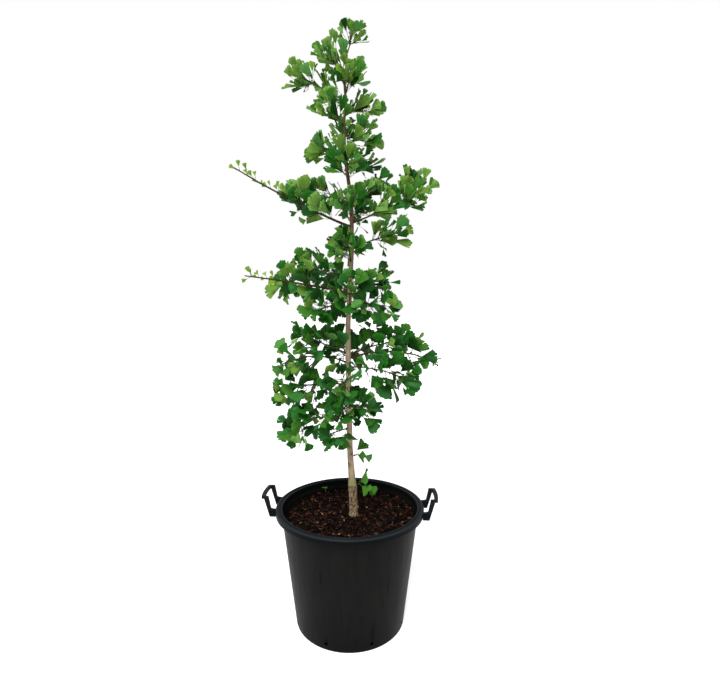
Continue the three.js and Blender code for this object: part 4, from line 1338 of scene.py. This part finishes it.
def fill_out(limb, shoots, leaves, random):
    """Adds more leaves at a limb's spurs, and then leafy twiglets all along its shoots."""
    for leaf in list(leaves):
        spray, share = leaf["spray"], leaf["share"]
        thin = spray == 0 and leaf["age"] >= 0.5
        for k in range(THIN_SIBLINGS if thin else SIBLINGS[limb["tier"]]):
            light = SIBLING_LIGHTS[k % len(SIBLING_LIGHTS)]
            add_leaf(limb, shoots[spray], spray, share, light, leaves, random)
    for shoot in list(shoots):
        lively = rising_at(shoot["chain"][0][2]) / RISING
        crowding = (1 + lively) * (COLUMN_TWIGLETS if limb["tier"] == "column" else 1)
        twiglets = round(shoot["length"] * (1 - shoot["leaf_from"]) / TWIGLET_SPACING * crowding)
        for i in range(twiglets):
            leafy = TWIGLETS_UP_TO - shoot["leaf_from"]
            share = shoot["leaf_from"] + leafy * (i + random(0.2, 0.8)) / twiglets
            if shoot is shoots[0] and share > limb["thin"]:
                continue
            point, axis = on_chain(shoot["chain"], share)
            direction = lean(axis, random(*TWIGLET_FORWARD), random(0, 360), TWIGLET_LIFT)
            length = random(*TWIGLET_LENGTH) * (1 - TWIGLET_SHRINK * share)
            tip = point + direction * length
            if not in_own_space(limb, [tip], SIBLING_MINGLE):
                continue
            twiglet = dict(
                chain=[point, tip],
                length=length,
                radii=TWIGLET_RADII,
                leaf_size=limb["leaf_size"],
                young=YOUNG_ON_TWIGLET,
            )
            grown = [
                add_leaf(limb, twiglet, len(shoots), leaf_share, light, leaves, random)
                for leaf_share, light in zip(TWIGLET_LEAVES, SIBLING_LIGHTS)
            ]
            if any(grown):
                shoots.append(twiglet)


def tint_of(limb, leaf, random):
    """The number of a leaf's tint: lighter by chance, higher up as younger leaves and painted light from
    above, far from the trunk as less painted shade inside the crown, and at the tips.
    """
    off_trunk = math.dist(leaf["middle"][:2], trunk_at(leaf["middle"][2])[0][:2])
    outer = min(1, off_trunk / OUTER_FROM_TRUNK) - 0.5
    lightness = random(0, 1) + PAINTED_INNER_SHADE * outer + TIP_LIGHTER * leaf["age"]
    upwards = min(1, max(0, (leaf["middle"][2] - TINTS_FROM) / (TINTS_TO - TINTS_FROM)))
    if limb["tier"] == "sprout":
        return TINTS.index("fresh")
    if limb["thin"] < LONG_THIN and leaf["spray"] == 0 and leaf["age"] > 0.5:
        return TINTS.index("young")
    limits = zip(TINTS_UP_TO_LOW, TINTS_UP_TO_HIGH)
    return sum(lightness > low + (high - low) * upwards for low, high in limits)


# a limb's own numbers grow the leaves that its solid has too, and the extra ones all the rest
sprays = {}
for limb in limbs:
    random = random_stream(limb["seed"])
    shoots = shoots_of(limb, random)
    leaves = leaves_of(limb, shoots, random)
    extra = random_stream(limb["seed"] + EXTRA_SEED)
    if limb["tier"] != "sprout":
        fill_out(limb, shoots, leaves, extra)
    tier = MADE_WITH.get(limb["tier"], limb["tier"])
    wood, blades, stalks, nodes = sprays.setdefault(tier, (Cluster(), Cluster(), Cluster(), []))
    nodes.append("foliage_" + limb["name"])
    for shoot in shoots:
        centres, along = walk(shoot["chain"], TWIG_STEP)
        radii = np.interp(along, [0, along[-1]], shoot["radii"])
        wood.add(*tube(centres, radii, STEM_SIDES if shoot is shoots[0] else SHOOT_SIDES))
        tip, way = on_chain(shoot["chain"], 1)
        wood.add(*shaped(tip, way * BUD_LENGTH, BUD_SHAPE, BUD_RADIUS))
    larger = TIER_LEAF.get(limb["tier"], 1)
    for leaf in leaves:
        leaf.update(length=leaf["length"] * larger, width=leaf["width"] * larger)
        spur_radius = SPUR_RADIUS * (1 - SPUR_SHRINK * leaf["age"])
        wood.add(*shaped(leaf["root"], leaf["stalk_way"] * SPUR_LENGTH, SPUR_SHAPE, spur_radius))
        points, base = blade(leaf, extra)
        stalks.add(*stalk(leaf, base))
        tint = tint_of(limb, leaf, extra)
        turned_over = extra(0, 1) < UNDER_SHARE
        blades.add(points, blade_faces, [2 * tint + (side ^ turned_over) for side in blade_sides])

for tier, (wood, blades, stalks, nodes) in sprays.items():
    twigs = wood.piece(f"twigs_{tier}", [brown_bark], "bark")
    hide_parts(*nodes)
    foliage = blades.piece(f"leaves_{tier}", leaf_materials, "leaves")
    mark(foliage, "rib", np.tile(blade_ribs, len(foliage.data.vertices) // len(blade_ribs)))
    stalks.piece(f"stalks_{tier}", [stalk_green], "leaves")

# ---------------------------------------------------------------------------------------------------------
# Seedling
# A weed that has come up in the bark at the back of the pot: a short stalk and a few narrow fleshy leaves, of
# the same green as the lighter leaves.
# ---------------------------------------------------------------------------------------------------------

SEEDLING_PLACE = (-98, 188)
SEEDLING_HEIGHT = 14
SEEDLING_STALK = (0.9, 0.8, 0.7)  # radii from its foot to its top
SEEDLING_LEAF = (0.5, 1.3, 1.9, 1.8, 1.1, 0.2)
SEEDLING_SIDES = 6
SEEDLING_LEAVES = [(200, 15), (320, 13), (60, 12), (130, 9), (265, 9)]  # degrees from +X and lengths

seedling = Cluster()
foot = np.array([*SEEDLING_PLACE, soil_height(*SEEDLING_PLACE)])
crown = foot + UP * SEEDLING_HEIGHT
seedling.add(*tube([foot - UP * 2, (foot + crown) / 2 + [1, 0, 0], crown], SEEDLING_STALK, SEEDLING_SIDES))
for degrees, length in SEEDLING_LEAVES:
    outward = np.array([math.cos(math.radians(degrees)), math.sin(math.radians(degrees)), 0])
    shares = np.linspace(0, 1, len(SEEDLING_LEAF))
    middle = [crown + outward * length * t + UP * length * (1.1 * t - 0.8 * t * t) for t in shares]
    seedling.add(*tube(middle, SEEDLING_LEAF, SEEDLING_SIDES))
seedling.piece("weed_seedling", [leaf_materials[2 * TINTS.index("light")]], "leaves")

# ---------------------------------------------------------------------------------------------------------
# Studio
# The camera looks slightly down at the plant from 1.6 m in front of it. The floor is plain, pale and glows a
# little, in a bright even surround, and a soft key light shines from above the camera.
# ---------------------------------------------------------------------------------------------------------

CAMERA_PLACE = (0.034, -1.58, 1.094)  # in metres
CAMERA_PITCH = -5.21
CAMERA_LENS = 24
FLOOR_SIZE = 60
FLOOR_GLOW = 0.62
SURROUND = (0.75, 1.0)  # its strength as a light, and as the camera sees it
KEY_STRENGTH = 4.0
KEY_SPREAD = 25
KEY_TURN = (38, -14, 0)

camera = bpy.data.objects.new("camera", bpy.data.cameras.new("camera"))
camera.location = CAMERA_PLACE
camera.rotation_euler = (math.radians(90 + CAMERA_PITCH), 0, 0)
camera.data.lens = CAMERA_LENS
bpy.context.scene.collection.objects.link(camera)
bpy.context.scene.camera = camera

paper, paper_shader, _ = new_material("white_paper", 0.9, specular=0.1)
set_inputs(paper_shader, {"Base Color": "#c4c4c4", "Emission Strength": FLOOR_GLOW})
half = FLOOR_SIZE / 2
floor_mesh = bpy.data.meshes.new("floor")
floor_corners = [(-half, -half, 0), (half, -half, 0), (half, half, 0), (-half, half, 0)]
floor_mesh.from_pydata(floor_corners, [], [(0, 1, 2, 3)])
floor_mesh.materials.append(paper)
floor = bpy.data.objects.new("floor", floor_mesh)
bpy.context.scene.collection.objects.link(floor)

world = bpy.data.worlds.new("surround")
bpy.context.scene.world = world
world.use_nodes = True
seen = add_node(world, "LightPath", output="Is Camera Ray")
strength = add_node(world, "MapRange", {"Value": seen, "To Min": SURROUND[0], "To Max": SURROUND[1]})
set_inputs(world.node_tree.nodes["Background"], {"Color": "#ffffff", "Strength": strength})

key = bpy.data.objects.new("key", bpy.data.lights.new("key", "SUN"))
key.data.energy = KEY_STRENGTH
key.data.angle = math.radians(KEY_SPREAD)
key.rotation_euler = [math.radians(degrees) for degrees in KEY_TURN]
bpy.context.scene.collection.objects.link(key)

bpy.context.scene.view_settings.view_transform = "Standard"
